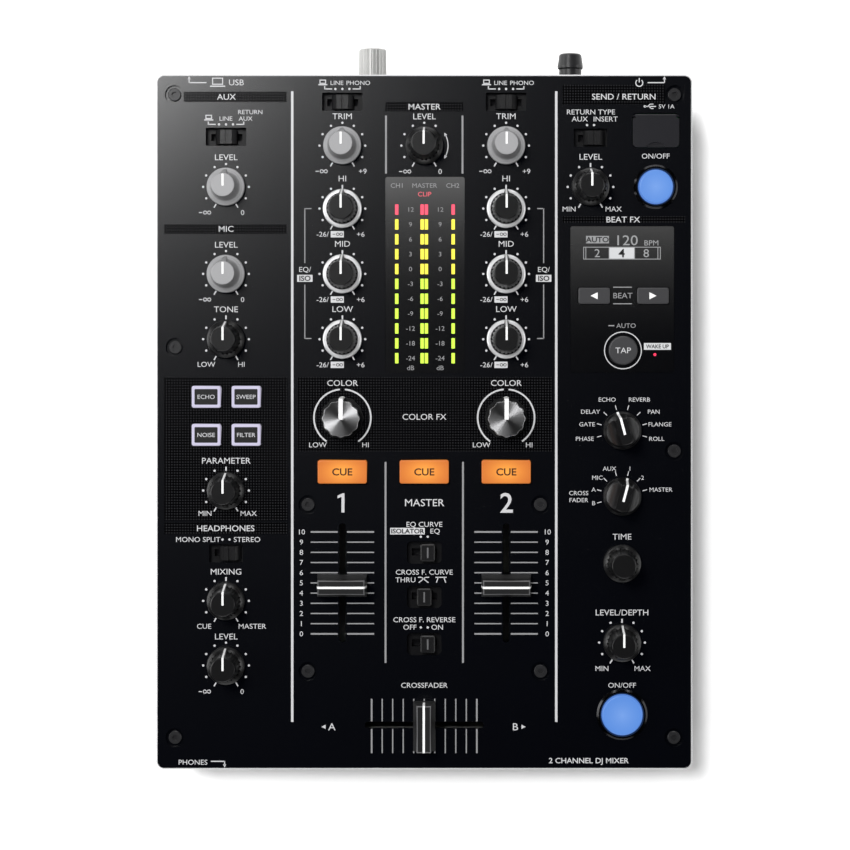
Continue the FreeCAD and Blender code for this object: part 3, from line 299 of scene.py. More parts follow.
# ================================================================ flat artwork
class Art:
    """Collects flat marks and makes one mesh of them. Positions are from the faceplate's middle,
    in millimetres."""

    def __init__(self):
        self.verts = []
        self.faces = []

    def polygon(self, points):
        start = len(self.verts)
        self.verts += [(x, y, 0.0) for x, y in points]
        self.faces.append(tuple(range(start, start + len(points))))

    def rect(self, x, y, width, height, radius=0.0):
        if radius <= 0:
            self.polygon([(x - width / 2, y - height / 2), (x + width / 2, y - height / 2),
                          (x + width / 2, y + height / 2), (x - width / 2, y + height / 2)])
            return
        points = []
        for corner, (sx, sy) in enumerate(((1, 1), (-1, 1), (-1, -1), (1, -1))):
            for step in range(7):
                angle = math.pi / 2 * (corner + step / 6)
                points.append((x + sx * (width / 2 - radius) + radius * math.cos(angle),
                               y + sy * (height / 2 - radius) + radius * math.sin(angle)))
        self.polygon(points)

    def line(self, x0, y0, x1, y1, width):
        length = math.hypot(x1 - x0, y1 - y0)
        nx, ny = -(y1 - y0) / length * width / 2, (x1 - x0) / length * width / 2
        self.polygon([(x0 - nx, y0 - ny), (x1 - nx, y1 - ny), (x1 + nx, y1 + ny), (x0 + nx, y0 + ny)])

    def path(self, points, width):
        for (x0, y0), (x1, y1) in zip(points, points[1:]):
            self.line(x0, y0, x1, y1, width)

    def dot(self, x, y, radius, sides=20):
        turns = [2 * math.pi * i / sides for i in range(sides)]
        self.polygon([(x + radius * math.cos(a), y + radius * math.sin(a)) for a in turns])

    def spot(self, x, y):
        """The small round mark of the scales and of switch positions."""
        self.dot(x, y, 0.5, 14)

    def arc(self, x, y, radius, start, end, width):
        """Angles in degrees, clockwise from the rear."""
        steps = max(4, int(abs(end - start) / 5))
        for step in range(steps):
            a0 = start + (end - start) * step / steps
            a1 = start + (end - start) * (step + 1) / steps
            inner, outer = radius - width / 2, radius + width / 2
            self.polygon([around(x, y, inner, a0), around(x, y, inner, a1),
                          around(x, y, outer, a1), around(x, y, outer, a0)])

    def tick(self, x, y, angle, r0, r1, width):
        self.line(*around(x, y, r0, angle), *around(x, y, r1, angle), width)

    def text(self, words, x, y, height, align="CENTER", bold=0.0, narrow=1.08):
        """Lettering whose capitals are height tall, centred on y; narrow scales its width."""
        curve = bpy.data.curves.new("lettering", "FONT")
        curve.body = words
        curve.size = 1.0
        curve.align_x = align
        curve.offset = bold
        curve.resolution_u = 3
        holder = bpy.data.objects.new("lettering", curve)
        bpy.context.scene.collection.objects.link(holder)
        depsgraph = bpy.context.evaluated_depsgraph_get()
        mesh = bpy.data.meshes.new_from_object(holder.evaluated_get(depsgraph))
        size = height / CAPITAL
        start = len(self.verts)
        self.verts += [(x + v.co.x * size * narrow, y + v.co.y * size - height / 2, 0.0)
                       for v in mesh.vertices]
        self.faces += [tuple(start + i for i in p.vertices) for p in mesh.polygons]
        bpy.data.objects.remove(holder)
        bpy.data.curves.remove(curve)
        bpy.data.meshes.remove(mesh)

    def piece(self, name, material, body, z, place=None, slot=None):
        """One mesh at height z above the table, or on the plane that place gives."""
        mesh = bpy.data.meshes.new(name)
        mesh.from_pydata(self.verts, [], self.faces)
        if place is None:
            place = Matrix.Translation((PLATE_X, PLATE_Y, z))
        mesh.transform(Matrix.Scale(MM, 4) @ place)
        return add_mesh(name, mesh, material, body)


def add_mesh(name, mesh, material, body):
    """Puts a mesh in the scene with one finish and lets it ride on a body."""
    mesh.materials.append(M[material])
    item = bpy.data.objects.new(name, mesh)
    bpy.context.scene.collection.objects.link(item)
    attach(item, body)
    return item


def capital_height():
    """Height of a capital letter in the built-in font at size 1."""
    curve = bpy.data.curves.new("measure", "FONT")
    curve.body = "H"
    holder = bpy.data.objects.new("measure", curve)
    bpy.context.scene.collection.objects.link(holder)
    bpy.context.view_layer.update()
    height = holder.dimensions.y
    bpy.data.objects.remove(holder)
    bpy.data.curves.remove(curve)
    return height


CAPITAL = capital_height()


def infinity(art, x, y, half, width):
    """A lying figure of eight, half wide on each side."""
    points = []
    for step in range(33):
        t = 2 * math.pi * step / 32
        scale = half / (1 + math.sin(t) ** 2)
        points.append((x + scale * math.cos(t), y + 1.25 * scale * math.sin(t) * math.cos(t)))
    art.path(points, width)


def minus_infinity(art, x, y, size=1.0):
    """The sign at a level knob's closed end."""
    art.line(x - 2.5 * size, y, x - 1.1 * size, y, 0.36 * size)
    infinity(art, x + 1.0 * size, y, 1.55 * size, 0.36 * size)


def outline(art, x, y, width, height, line):
    """A rectangle drawn with a line of even thickness inside its edges."""
    for sx in (-1, 1):
        art.rect(x + sx * (width - line) / 2, y, line, height)
    for sy in (-1, 1):
        art.rect(x, y + sy * (height - line) / 2, width - 2 * line, line)


def laptop(art, x, y, size=1.0):
    """The sign of a computer input."""
    outline(art, x, y + 0.4 * size, 3.6 * size, 2.3 * size, 0.4)
    art.rect(x, y - 1.25 * size, 5.0 * size, 0.5)


def arrow(art, x, y, dx, dy, size=0.9):
    """A small filled triangle that points along dx, dy."""
    art.polygon([(x + dx * size, y + dy * size), (x - dx * size - dy * size, y - dy * size + dx * size),
                 (x - dx * size + dy * size, y - dy * size - dx * size)])


def ground(art, x0, x1, y0, y1, holes=()):
    """A rectangle that leaves out square holes, given as (x, y, half width, half depth)."""
    xs = sorted({x0, x1} | {h[0] + s * h[2] for h in holes for s in (-1, 1)})
    ys = sorted({y0, y1} | {h[1] + s * h[3] for h in holes for s in (-1, 1)})
    for xa, xb in zip(xs, xs[1:]):
        for ya, yb in zip(ys, ys[1:]):
            cx, cy = (xa + xb) / 2, (ya + yb) / 2
            if not any(abs(cx - h[0]) < h[2] and abs(cy - h[1]) < h[3] for h in holes):
                art.polygon([(xa, ya), (xb, ya), (xb, yb), (xa, yb)])


TITLE = 2.45       # capital heights, in millimetres
SMALL = 2.1
FINE = 1.8
TINY = 1.75
HAIRLINE = 0.45    # width of the thinnest printed lines, in millimetres
white, dim, strips, chips, chip_text = Art(), Art(), Art(), Art(), Art()

# ---------------------------------------------------------------- dial scales
# node: (title, its distance behind the axis, (left label, its x offset, right label, its x offset,
#        y offset of both labels), mark at the middle)
DOT_RING = 9.8
LEVEL_ENDS = ("-inf", -9.1, "0", 7.1, -11.0)
EQ_ENDS = ("-26", -8.5, "+6", 7.8, -11.0)
DIALS = {
    "aux_level_knob": ("LEVEL", 12.7, LEVEL_ENDS, "dot"),
    "mic_level_knob": ("LEVEL", 12.5, LEVEL_ENDS, "dot"),
    "mic_tone_knob": ("TONE", 12.8, ("LOW", -8.5, "HI", 6.6, -10.8), "line"),
    "parameter_knob": ("PARAMETER", 12.8, ("MIN", -9.0, "MAX", 9.6, -9.8), "line"),
    "phones_mix_knob": ("MIXING", 12.5, ("CUE", -9.4, "MASTER", 11.2, -10.9), "line"),
    "phones_level_knob": ("LEVEL", 12.4, ("-inf", -9.2, "0", 6.9, -11.2), "dot"),
    "ch1_trim_knob": ("TRIM", 12.6, ("-inf", -9.0, "+9", 8.7, -11.0), "dot"),
    "ch2_trim_knob": ("TRIM", 12.6, ("-inf", -9.0, "+9", 8.7, -11.0), "dot"),
    "master_level_knob": ("LEVEL", 12.5, ("-inf", -8.3, "0", 6.8, -11.1), "dot"),
    "send_level_knob": ("LEVEL", 12.9, ("MIN", -9.2, "MAX", 9.8, -9.5), "line"),
    "depth_knob": ("LEVEL/DEPTH", 12.9, ("MIN", -8.6, "MAX", 8.7, -11.1), "line"),
}
for channel in ("ch1", "ch2"):
    for band in ("hi", "mid", "low"):
        DIALS[f"{channel}_{band}_knob"] = (band.upper(), 12.9, EQ_ENDS, "line")

for node, (title, rise, (left, left_dx, right, right_dx, drop), mark) in DIALS.items():
    x, y = centre(node)
    white.text(title, x, y + rise, TITLE)
    for angle in (-120, -90, -60, -30, 30) + (() if node == "master_level_knob" else (60, 90, 120)):
        white.spot(*around(x, y, DOT_RING, angle))
    for angle in (-150, 150):
        white.tick(x, y, angle, 8.4, 10.3, 0.55)
    if mark == "dot":
        white.spot(x, y + DOT_RING)
    else:
        white.tick(x, y, 0, 8.5, 10.2, 0.65)
    if left == "-inf":
        minus_infinity(white, x + left_dx, y + drop)
    elif left == "-26":
        white.text("-26/", x + left_dx, y + drop, SMALL)
        chips.rect(x - 2.2, y + drop, 5.6, 2.7)
        minus_infinity(chip_text, x - 2.1, y + drop, 0.85)
    else:
        white.text(left, x + left_dx, y + drop, SMALL)
    white.text(right, x + right_dx, y + drop, SMALL)

# Beside the master knob two arrows on an arc stand in for the dots on its right.
ARROW_ARC = 10.2
x, y = centre("master_level_knob")
white.arc(x, y, ARROW_ARC, 63, 117, 0.4)
for angle, turn in ((61, -1), (119, 1)):
    a = math.radians(angle)
    arrow(white, *around(x, y, ARROW_ARC, angle), turn * math.cos(a), -turn * math.sin(a), 0.7)

# ---------------------------------------------------------------- COLOR dials
for node in COLOR_KNOBS:
    x, y = centre(node)
    white.text("COLOR", x, y + 14.9, TITLE)
    for start, end in ((-146, -5), (5, 146)):
        white.arc(x, y, 12.2, start, end, 0.7)
    white.text("LOW", x - 10.6, y - 11.6, SMALL)
    white.text("HI", x + 9.9, y - 11.6, SMALL)
white.text("COLOR FX", 0.0, 2.2, TITLE)

# ---------------------------------------------------------------- dividing lines
for side in (-1, 1):
    for art, x, y0, y1, width in ((white, 56.6, 141.8, -128.6, 1.05), (dim, 16.4, 131.4, 106.5, 0.8),
                                  (dim, 16.6, -17.1, -103.3, 0.8)):
        art.line(side * x, y0, side * x, y1, width)

# ---------------------------------------------------------------- dotted strips
SHAFT_HOLE = 4.4        # half width of the gap left round a knob's shaft
key_holes = []
for node in EFFECT_KEYS:
    x, y = centre(node)
    key_holes.append((x, y, 6.6, 5.1))
parameter = centre("parameter_knob")
color_holes = [(*centre(node), SHAFT_HOLE, SHAFT_HOLE) for node in COLOR_KNOBS]
ground(strips, -103.1, -59.0, 137.2, 141.6)
ground(strips, -111.5, -59.0, 80.6, 84.7)
ground(strips, -111.5, -58.6, -42.3, 19.2, key_holes + [(*parameter, SHAFT_HOLE, SHAFT_HOLE)])
ground(strips, -111.5, -58.6, -48.1, -43.1)
ground(strips, -54.4, 55.0, -12.6, 19.2, color_holes)
ground(strips, -16.7, 16.7, 133.2, 137.2)
ground(strips, 59.2, 111.7, 137.5, 141.7, [(107.4, 140.4, 4.2, 4.2)])
ground(strips, 59.2, 111.9, 85.4, 88.2)

# ---------------------------------------------------------------- section titles
for words, x, y in (("AUX", -84.8, 139.4), ("MIC", -85.0, 82.8), ("HEADPHONES", -85.2, -45.6),
                    ("MASTER", 0.0, 135.2), ("SEND / RETURN", 85.6, 139.5), ("BEAT FX", 85.2, 86.8)):
    white.text(words, x, y, TITLE, bold=0.004)

# ---------------------------------------------------------------- inputs along the rear edge
TWO_PLACES = (-1.5, 1.5)
THREE_PLACES = (-3.0, 0.0, 3.0)


def between_places(node):
    """Middle between the two places of a slide switch, which rests in the right-hand one."""
    x, y = centre(node)
    return x - 1.5, y


def place_dots(x, y, places, brackets=False):
    """Dots for a slide switch's places, and brackets that lead out from the outer ones."""
    for dx in places:
        white.spot(x + dx, y)
    inner = abs(places[-1]) + 1.4
    outer = inner + 3.2
    for side in (-1, 1) if brackets else ():
        white.line(x + side * inner, y, x + side * outer, y, HAIRLINE)
        white.line(x + side * outer, y - 0.2, x + side * outer, y + 1.2, HAIRLINE)


for node in ("ch1_input_switch", "ch2_input_switch"):
    x, y = centre(node)
    laptop(white, x - 8.4, y + 8.3, 0.78)
    white.text("LINE", x - 2.4, y + 8.1, FINE)
    white.text("PHONO", x + 6.8, y + 8.1, FINE)
    place_dots(x, y + 5.5, THREE_PLACES, brackets=True)
x, y = centre("aux_input_switch")
laptop(white, x - 7.4, y + 8.2, 0.78)
white.text("LINE", x - 0.1, y + 7.8, FINE)
white.text("RETURN", x + 10.4, y + 10.6, FINE)
white.text("AUX", x + 8.4, y + 7.8, FINE)
place_dots(x, y + 5.3, THREE_PLACES, brackets=True)
x, y = between_places("return_type_switch")
white.text("RETURN TYPE", x + 0.1, y + 11.0, SMALL)
white.text("AUX", x - 4.6, y + 8.0, SMALL)
white.text("INSERT", x + 6.4, y + 8.0, SMALL)
place_dots(x, y + 5.4, TWO_PLACES)

white.text("USB", -80.6, 145.6, TITLE)
laptop(white, -88.6, 145.6, 1.3)
white.path([(-93.4, 145.5), (-100.8, 145.5), (-100.8, 147.2)], HAIRLINE)
arrow(white, -100.8, 147.6, 0, 1, 0.7)
white.arc(92.2, 145.4, 1.5, 40, 320, 0.42)
white.line(92.2, 145.6, 92.2, 147.5, 0.42)
white.path([(95.8, 145.5), (103.0, 145.5), (103.0, 147.2)], HAIRLINE)
arrow(white, 103.0, 147.6, 0, 1, 0.7)
white.text("5V 1A", 100.4, 135.3, 1.7, align="LEFT")
white.path([(94.6, 135.3), (99.4, 135.3)], 0.4)
white.path([(95.8, 135.3), (96.9, 136.3), (98.3, 136.3)], 0.35)
white.path([(96.3, 135.3), (97.3, 134.4), (98.3, 134.4)], 0.35)
white.dot(94.6, 135.3, 0.55, 14)

# ---------------------------------------------------------------- EQ brackets
for side in (-1, 1):
    x = side * 51.2
    white.text("EQ/", x, 65.4, SMALL)
    chips.rect(x, 61.6, 6.6, 3.0)
    chip_text.text("ISO", x, 61.6, 2.1, bold=0.03)
    for y0, y1 in ((91.7, 68.1), (58.9, 35.6)):
        dim.line(x, y0, x, y1, HAIRLINE)
    for y in (91.5, 35.8):
        dim.line(x, y, x - side * 2.8, y, HAIRLINE)

# ---------------------------------------------------------------- headphone section
x, y = between_places("phones_mode_switch")
white.text("MONO SPLIT", x - 12.0, y + 5.9, SMALL)
white.text("STEREO", x + 9.0, y + 5.9, SMALL)
place_dots(x, y + 5.9, TWO_PLACES)
white.text("PHONES", -99.2, -145.9, SMALL)
white.path([(-91.5, -145.5), (-85.6, -145.5), (-85.6, -147.2)], HAIRLINE)
arrow(white, -85.6, -147.5, 0, -1, 0.7)

# ---------------------------------------------------------------- centre block
white.text("MASTER", 0.0, -34.6, 3.0)
white.text("2", 35.3, -34.7, 8.2, bold=0.01, narrow=1.0)
FIGURE_ONE = ((-0.2, -4.1), (1.1, -4.1), (1.1, 4.1), (0.2, 4.1), (-1.9, 3.1), (-1.9, 1.9), (-0.2, 2.6))
white.polygon([(-35.3 + dx, -34.7 + dy) for dx, dy in FIGURE_ONE])
x, y = between_places("eq_curve_switch")
white.text("EQ CURVE", x, y + 12.1, SMALL)
chips.rect(x - 7.2, y + 9.2, 14.8, 2.8)
chip_text.text("ISOLATOR", x - 7.2, y + 9.2, 1.9, bold=0.03)
white.text("EQ", x + 4.6, y + 9.2, SMALL)
place_dots(x, y + 6.8, TWO_PLACES)
x, y = centre("crossfader_curve_switch")
white.text("CROSS F. CURVE", x, y + 10.6, SMALL)
white.text("THRU", x - 8.0, y + 7.3, SMALL)
for mirror in (-1, 1):
    cx = x - 0.3
    white.path([(cx + mirror * 2.4, y + 8.4), (cx + mirror * 0.9, y + 8.4),
                (cx - mirror * 2.1, y + 6.1)], 0.4)
    cx = x + 7.2
    white.path([(cx + mirror * 2.4, y + 8.4), (cx, y + 8.4)], 0.4)
    white.line(cx + mirror * 1.2, y + 8.4, cx + mirror * 2.0, y + 6.1, 0.4)
x, y = between_places("crossfader_reverse_switch")
white.text("CROSS F. REVERSE", x, y + 10.4, SMALL)
white.text("OFF", x - 6.2, y + 7.2, SMALL)
white.text("ON", x + 5.6, y + 7.2, SMALL)
place_dots(x, y + 7.1, TWO_PLACES)

# ---------------------------------------------------------------- fader scales
FADER_MID, FADER_HALF, FADER_STEP = -69.0, 21.85, 4.37
CROSS_HALF, CROSS_STEP = 22.55, 4.51


def scale_width(step):
    """The first and the last line of a scale are thicker."""
    return 0.7 if step in (0, 10) else 0.5


for side in (-1, 1):
    x = centre("ch1_fader" if side < 0 else "ch2_fader")[0]
    for step in range(11):
        y = FADER_MID + FADER_HALF - FADER_STEP * step
        dim.line(x - 13.6, y, x - 2.0, y, scale_width(step))
        dim.line(x + 2.0, y, x + 13.6, y, scale_width(step))
        white.text(str(10 - step), x + side * 17.6, y, SMALL)
cross_y = centre("crossfader")[1]
for step in range(11):
    x = -CROSS_HALF + CROSS_STEP * step
    dim.line(x, cross_y + 11.3, x, cross_y + 1.6, scale_width(step))
    dim.line(x, cross_y - 1.6, x, cross_y - 12.0, scale_width(step))
white.text("CROSSFADER", 0.0, -112.9, SMALL)
white.text("A", -39.6, cross_y - 0.7, 3.0)
white.text("B", 39.0, cross_y - 0.7, 3.0)
arrow(white, -43.2, cross_y - 0.7, -1, 0, 0.9)
arrow(white, 42.6, cross_y - 0.7, 1, 0, 0.9)
white.text("2 CHANNEL DJ MIXER", 70.5, -145.2, 2.2, bold=0.01)

# ---------------------------------------------------------------- send and effect sections
x, y = centre("send_on_button")
white.text("ON/OFF", x, y + 13.2, SMALL)
x, y = centre("effect_on_button")
white.text("ON/OFF", x, y + 12.5, SMALL)
x, y = centre("time_knob")
white.text("TIME", x, y + 11.4, TITLE)
SELECTOR_TICK = (9.1, 11.1, 0.36)       # inner end, outer end and width of a mark
x, y = centre("effect_selector_knob")
for words, dx, dy in (("ECHO", -6.4, 13.2), ("REVERB", 7.4, 13.2), ("DELAY", -13.6, 8.0),
                      ("PAN", 13.6, 8.0), ("GATE", -15.0, 2.6), ("FLANGE", 16.2, 2.6),
                      ("PHASE", -16.0, -3.6), ("ROLL", 14.8, -3.6)):
    white.text(words, x + dx, y + dy, TINY)
for angle in (-105, -75, -45, -15, 15, 45, 75, 105):
    white.tick(x, y, angle, *SELECTOR_TICK)
x, y = centre("channel_selector_knob")
for words, dx, dy in (("AUX", -5.4, 11.9), ("1", 3.4, 11.9), ("MIC", -10.6, 8.0), ("2", 8.8, 8.0),
                      ("A", -12.2, 2.9), ("MASTER", 16.6, 2.9), ("CROSS", -18.6, 1.4),
                      ("FADER", -18.6, -1.6), ("B", -12.2, -2.9)):
    white.text(words, x + dx, y + dy, TINY)
for angle in (-105, -75, -45, -15, 15, 45, 75):
    white.tick(x, y, angle, *SELECTOR_TICK)
x, y = centre("tap_button")
tap = Art()
tap.arc(x, y, 7.9, 0, 360, 0.42)

white.piece("panel_lettering", "white", "case", PLATE_Z + 2 * INK)
dim.piece("fader_scales", "dim", "case", PLATE_Z + 2 * INK)
strips.piece("panel_dotted_bands", "strip", "case", PLATE_Z + INK)
chips.piece("panel_label_chips", "chip", "case", PLATE_Z + 2 * INK)
chip_text.piece("panel_chip_lettering", "black", "case", PLATE_Z + 3 * INK)

# ---------------------------------------------------------------- rear plate and front of the case
# Rear words are placed by (x, height above the table) in millimetres.
REAR_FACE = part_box("rear_panel")[1].y / MM
CASE_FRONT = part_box("case_tub")[0].y / MM
REAR_PLANE = Matrix(((-1, 0, 0, 0), (0, 0, 1, REAR_FACE + INK), (0, 1, 0, 0), (0, 0, 0, 1)))
FRONT_PLANE = Matrix(((1, 0, 0, 0), (0, 0, -1, CASE_FRONT - INK), (0, 1, 0, 0), (0, 0, 0, 1)))
REAR_WORDS = [("USB", -101.0, 72.0), ("MIC", -86.0, 72.8), ("CH 1", -60.0, 72.6), ("PHONO", -68.0, 54.6),
              ("LINE", -52.0, 54.6), ("GND", -23.0, 80.0), ("AUX", -37.0, 54.6), ("REC OUT", -7.0, 54.6),
              ("CH 2", 16.0, 72.6), ("LINE", 8.0, 54.6), ("PHONO", 24.0, 54.6), ("L BOOTH", 42.0, 71.6),
              ("R", 42.0, 53.4), ("SEND", 62.0, 56.6), ("RETURN", 62.0, 37.6), ("DC IN", 83.0, 71.6),
              ("POWER", 102.0, 71.6), ("MASTER L", -36.0, 40.4), ("MASTER R", -4.0, 40.4)]
rear_words, front_words = Art(), Art()
for words, x, z in REAR_WORDS:
    rear_words.text(words, -x, z, FINE)
rear_words.piece("rear_lettering", "dim", "case", 0, REAR_PLANE)
front_words.text("PHONES", -93.0, 72.5, FINE)
front_words.piece("front_lettering", "dim", "case", 0, FRONT_PLANE)

# ================================================================ meter window
WINDOW_INKS = ("dim", "red", "led_red", "led_yellow", "led_green", "lcd", "lcd_bright", "black")
window = {name: Art() for name in WINDOW_INKS}
LED_COLUMNS = (-11.8, -0.9, 0.9, 12.4)
LED_ROWS = ["led_red"] + ["led_yellow"] * 4 + ["led_green"] * 6
LEVELS = ("12", "9", "6", "3", "0", "-3", "-6", "-9", "-12", "-18", "-24")
for row, (colour, words) in enumerate(zip(LED_ROWS, LEVELS)):
    y = 91.1 - 6.375 * row
    for column in LED_COLUMNS:
        window[colour].rect(column, y, 1.45, 4.45, 0.2)
    for x in (-5.9, 6.8):
        window["dim"].text(words, x, y, 1.9)
for words, x in (("CH1", -11.6), ("MASTER", 0.1), ("CH2", 12.2)):
    window["dim"].text(words, x, 101.4, 1.9)
window["red"].text("CLIP", 0.1, 97.7, 1.9)
for x in (-5.9, 6.8):
    window["dim"].text("dB", x, 23.2, 1.9)

# ================================================================ display window
BEAT_X = 84.9           # middle of the two BEAT keys
screen = window["lcd"]
screen.rect(74.3, 78.2, 9.8, 3.2)
window["black"].text("AUTO", 74.3, 78.2, 2.2, bold=0.02)
screen.text("120", 86.6, 77.9, 4.2, narrow=1.12)
screen.text("BPM", 97.4, 76.8, 2.2)
outline(screen, 84.8, 72.4, 33.2, 5.4, 0.3)
for x in (69.3, 79.3, 90.2, 100.2):
    screen.rect(x, 72.4, 0.3, 4.8)
screen.text("2", 74.2, 72.4, 3.4)
window["lcd_bright"].rect(84.7, 72.4, 10.6, 4.7)
window["black"].text("4", 84.7, 72.4, 3.4, bold=0.02)
screen.text("8", 95.2, 72.4, 3.4)
window["dim"].text("BEAT", BEAT_X + 0.2, 54.2, 2.3)
for y in (57.8, 50.7):
    window["dim"].line(BEAT_X - 3.9, y, BEAT_X + 4.2, y, 0.4)
window["dim"].text("AUTO", 86.6, 41.3, 1.9)
window["dim"].line(79.0, 41.3, 81.5, 41.3, 0.5)
window["lcd_bright"].rect(100.0, 32.4, 11.6, 2.9)
window["black"].text("WAKE UP", 100.0, 32.4, 1.6, bold=0.02, narrow=0.95)
for name, art in window.items():
    lift = 3 * INK if name == "black" else INK
    art.piece(f"window_{name}", name, "case", WINDOW_Z + lift)
tap.piece("tap_ring", "white", "case", WINDOW_Z + INK)
lamp = Art()
lamp.dot(98.9, 28.9, 0.65)
lamp.piece("status_lamp", "lamp", "case", WINDOW_Z + 2 * INK)

# ================================================================ marks that move with their keys
for node in CUE_KEYS:
    x, y = centre(node)
    art = Art()
    art.text("CUE", x, y, 2.9, bold=0.02)
    art.piece(f"{node}_legend", "brown", node, top(node) + INK)

for node, words in EFFECT_KEYS.items():
    x, y = centre(node)
    core, legend = Art(), Art()
    core.rect(x, y, 9.9, 6.7, 0.4)
    core.piece(f"{node}_core", "black", node, top(node) + INK)
    legend.text(words, x, y, TINY)
    legend.piece(f"{node}_legend", "lit_text", node, top(node) + 2 * INK)

for node, side in (("beat_left_button", -1), ("beat_right_button", 1)):
    x, y = centre(node)
    art = Art()
    arrow(art, x, y, side, 0, 1.5)
    art.piece(f"{node}_arrow", "pointer", node, top(node) + INK)
x, y = centre("tap_button")
art = Art()
art.text("TAP", x, y, 2.4)
art.piece("tap_button_legend", "white", "tap_button", top("tap_button") + INK)


# ================================================================ pointers and slider lines
def ribbon(name, node, points, width, turn=0.0, material="pointer"):
    """A stripe on a moving piece: even in width, it runs through (y, z) points across the node's
    middle, turned anticlockwise in degrees."""
    verts = [(side * width / 2, y, z) for y, z in points for side in (-1, 1)]
    faces = [(2 * i, 2 * i + 1, 2 * i + 3, 2 * i + 2) for i in range(len(points) - 1)]
    mesh = bpy.data.meshes.new(name)
    mesh.from_pydata(verts, [], faces)
    mesh.transform(Matrix.Rotation(math.radians(turn), 4, "Z"))
    x, y = centre(node)
    mesh.transform(Matrix.Translation((x + PLATE_X, y + PLATE_Y, 0)))
    mesh.transform(Matrix.Scale(MM, 4))
    add_mesh(name, mesh, material, node)


# How far each selector's bar is turned at rest, anticlockwise in degrees.
REST_TURN = {"effect_selector_knob": 15.0, "channel_selector_knob": -15.0}
SMOOTH = ("aux_level_knob", "mic_level_knob", "ch1_trim_knob", "ch2_trim_knob")
RINGED = [f"{c}_{b}_knob" for c in ("ch1", "ch2") for b in ("hi", "mid", "low")]
knobs = [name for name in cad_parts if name.endswith("_knob")]
for node in knobs:
    high = top(node)
    if "selector" in node:
        points = [(-1.4, high + 0.04), (5.38, high + 0.04), (5.9, high - 0.57), (7.36, PLATE_Z + 4.24),
                  (7.9, PLATE_Z + 3.46), (8.2, PLATE_Z + 2.86)]
        ribbon(f"{node}_pointer", node, points, 1.0, REST_TURN[node])
    elif "color" not in node and node != "time_knob":
        tip_y, tip_z = (8.2, PLATE_Z + 3.55) if node in RINGED else (7.55, PLATE_Z + 3.0)
        rim = 4.75 if node in SMOOTH else 5.0
        points = [(-0.4, high + 0.05), (rim - 0.09, high + 0.05)]
        if node not in SMOOTH:
            points += [(rim + 0.17, high - 0.12), (tip_y + 0.06, tip_z + 0.02)]
        ribbon(f"{node}_pointer", node, points, 0.85)

for node in FADERS:
    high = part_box(node)[1]
    turn = 180.0 if node == "crossfader" else 90.0
    crown, half = high.z / MM, 10.0
    points = [(-half - 0.62, crown - 6.0), (-half - 0.06, crown - 0.56), (-half + 0.46, crown + 0.05),
              (half - 0.46, crown + 0.05), (half + 0.06, crown - 0.56), (half + 0.62, crown - 6.0)]
    ribbon(f"{node}_line", node, points, 0.95, turn)

# Painted highlight: a grey stripe across each slider's top stands for the slot there and the light caught
# on its edges.
for node in ("eq_curve_switch", "crossfader_curve_switch", "crossfader_reverse_switch"):
    points = [(-2.2, top(node) + 0.04), (2.2, top(node) + 0.04)]
    ribbon(f"{node}_line", node, points, 0.7, material="bevel")


# ================================================================ finishes of the CAD nodes
def paint(node, *materials, choose=None):
    """Gives a CAD node its finishes; choose picks one for each face from its middle and normal."""
    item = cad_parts[node]
    item.data.materials.clear()
    for name in materials:
        item.data.materials.append(M[name])
    for face in item.data.polygons:
        face.material_index = choose(face.center / MM, face.normal) if choose else 0


def plate_finish(point, normal):
    """The bevel round the faceplate is bare metal."""
    near_edge = max(abs(point.x - PLATE_X) - (PLATE_HIGH.x - PLATE_LOW.x) / 2 / MM,
                    abs(point.y - PLATE_Y) - (PLATE_HIGH.y - PLATE_LOW.y) / 2 / MM) > -4.0
    return 1 if near_edge and 0.2 < normal.z < 0.95 else 0


RING_INNER, RING_OUTER, RING_TOP = 6.76, 8.4, 2.75      # a bright ring, from its knob's axis and the plate


def ring_finish(node):
    """The ring round a knob's foot is bright and the rest is black."""
    x, y = centre(node)

    def choose(point, normal):
        radius = math.hypot(point.x - PLATE_X - x, point.y - PLATE_Y - y)
        return 1 if RING_INNER < radius < RING_OUTER and point.z < PLATE_Z + RING_TOP else 0
    return choose


def color_finish(node):
    """The pointer bar is white, the upper disc is metal and the rest is black."""
    x, y = centre(node)
    high = top(node)

    def choose(point, normal):
        dx, dy = point.x - PLATE_X - x, point.y - PLATE_Y - y
        on_bar = abs(dx) < 0.86 and dy > -0.5
        if on_bar and (point.z > high - 0.45 or dy > 8.02 and point.z > PLATE_Z + 3.5):
            return 2
        return 1 if point.z > high - 1.7 and math.hypot(dx, dy) > 0.1 else 0
    return choose


RCA_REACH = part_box("rca_sockets")[1].y / MM
RCA_MIDDLE = 54.0                   # height between the white upper row and the red lower row
HOOK_X, HOOK_LOW = 63.6, 63.0       # the cord hook's middle, and a height below it
XLR_X, XLR_SPACING, XLR_Z = -20.0, 16.0, 26.0   # middle of the pair, half its spacing, its height


def rca_finish(point, normal):
    """A coloured insulating ring round the mouth of each socket."""
    if RCA_REACH - 1.3 < point.y < RCA_REACH - 0.5 and normal.y > 0.5:
        return 1 if point.z > RCA_MIDDLE else 2
    return 0


def socket_finish(point, normal):
    """Nuts, the ground stud and the XLR rims and pins are plated; the bodies and the hook are
    black."""
    if point.y > REAR_FACE + 0.05:
        on_hook = abs(point.x - HOOK_X) < 6 and point.z > HOOK_LOW
        return 2 if on_hook else 1
    in_xlr = (REAR_FACE - 17.5 < point.y < REAR_FACE - 0.5 and abs(point.z - XLR_Z) < 12
              and abs(abs(point.x - XLR_X) - XLR_SPACING) < 5.5)
    return 1 if in_xlr or point.y < CASE_FRONT - 0.05 else 0


def painted_shade_below_plate(point, normal):
    """The flange and stem under the faceplate are painted black as painted shade, so the gap round the key
    reads dark.
    """
    return 1 if point.z < PLATE_Z - 0.9 else 0


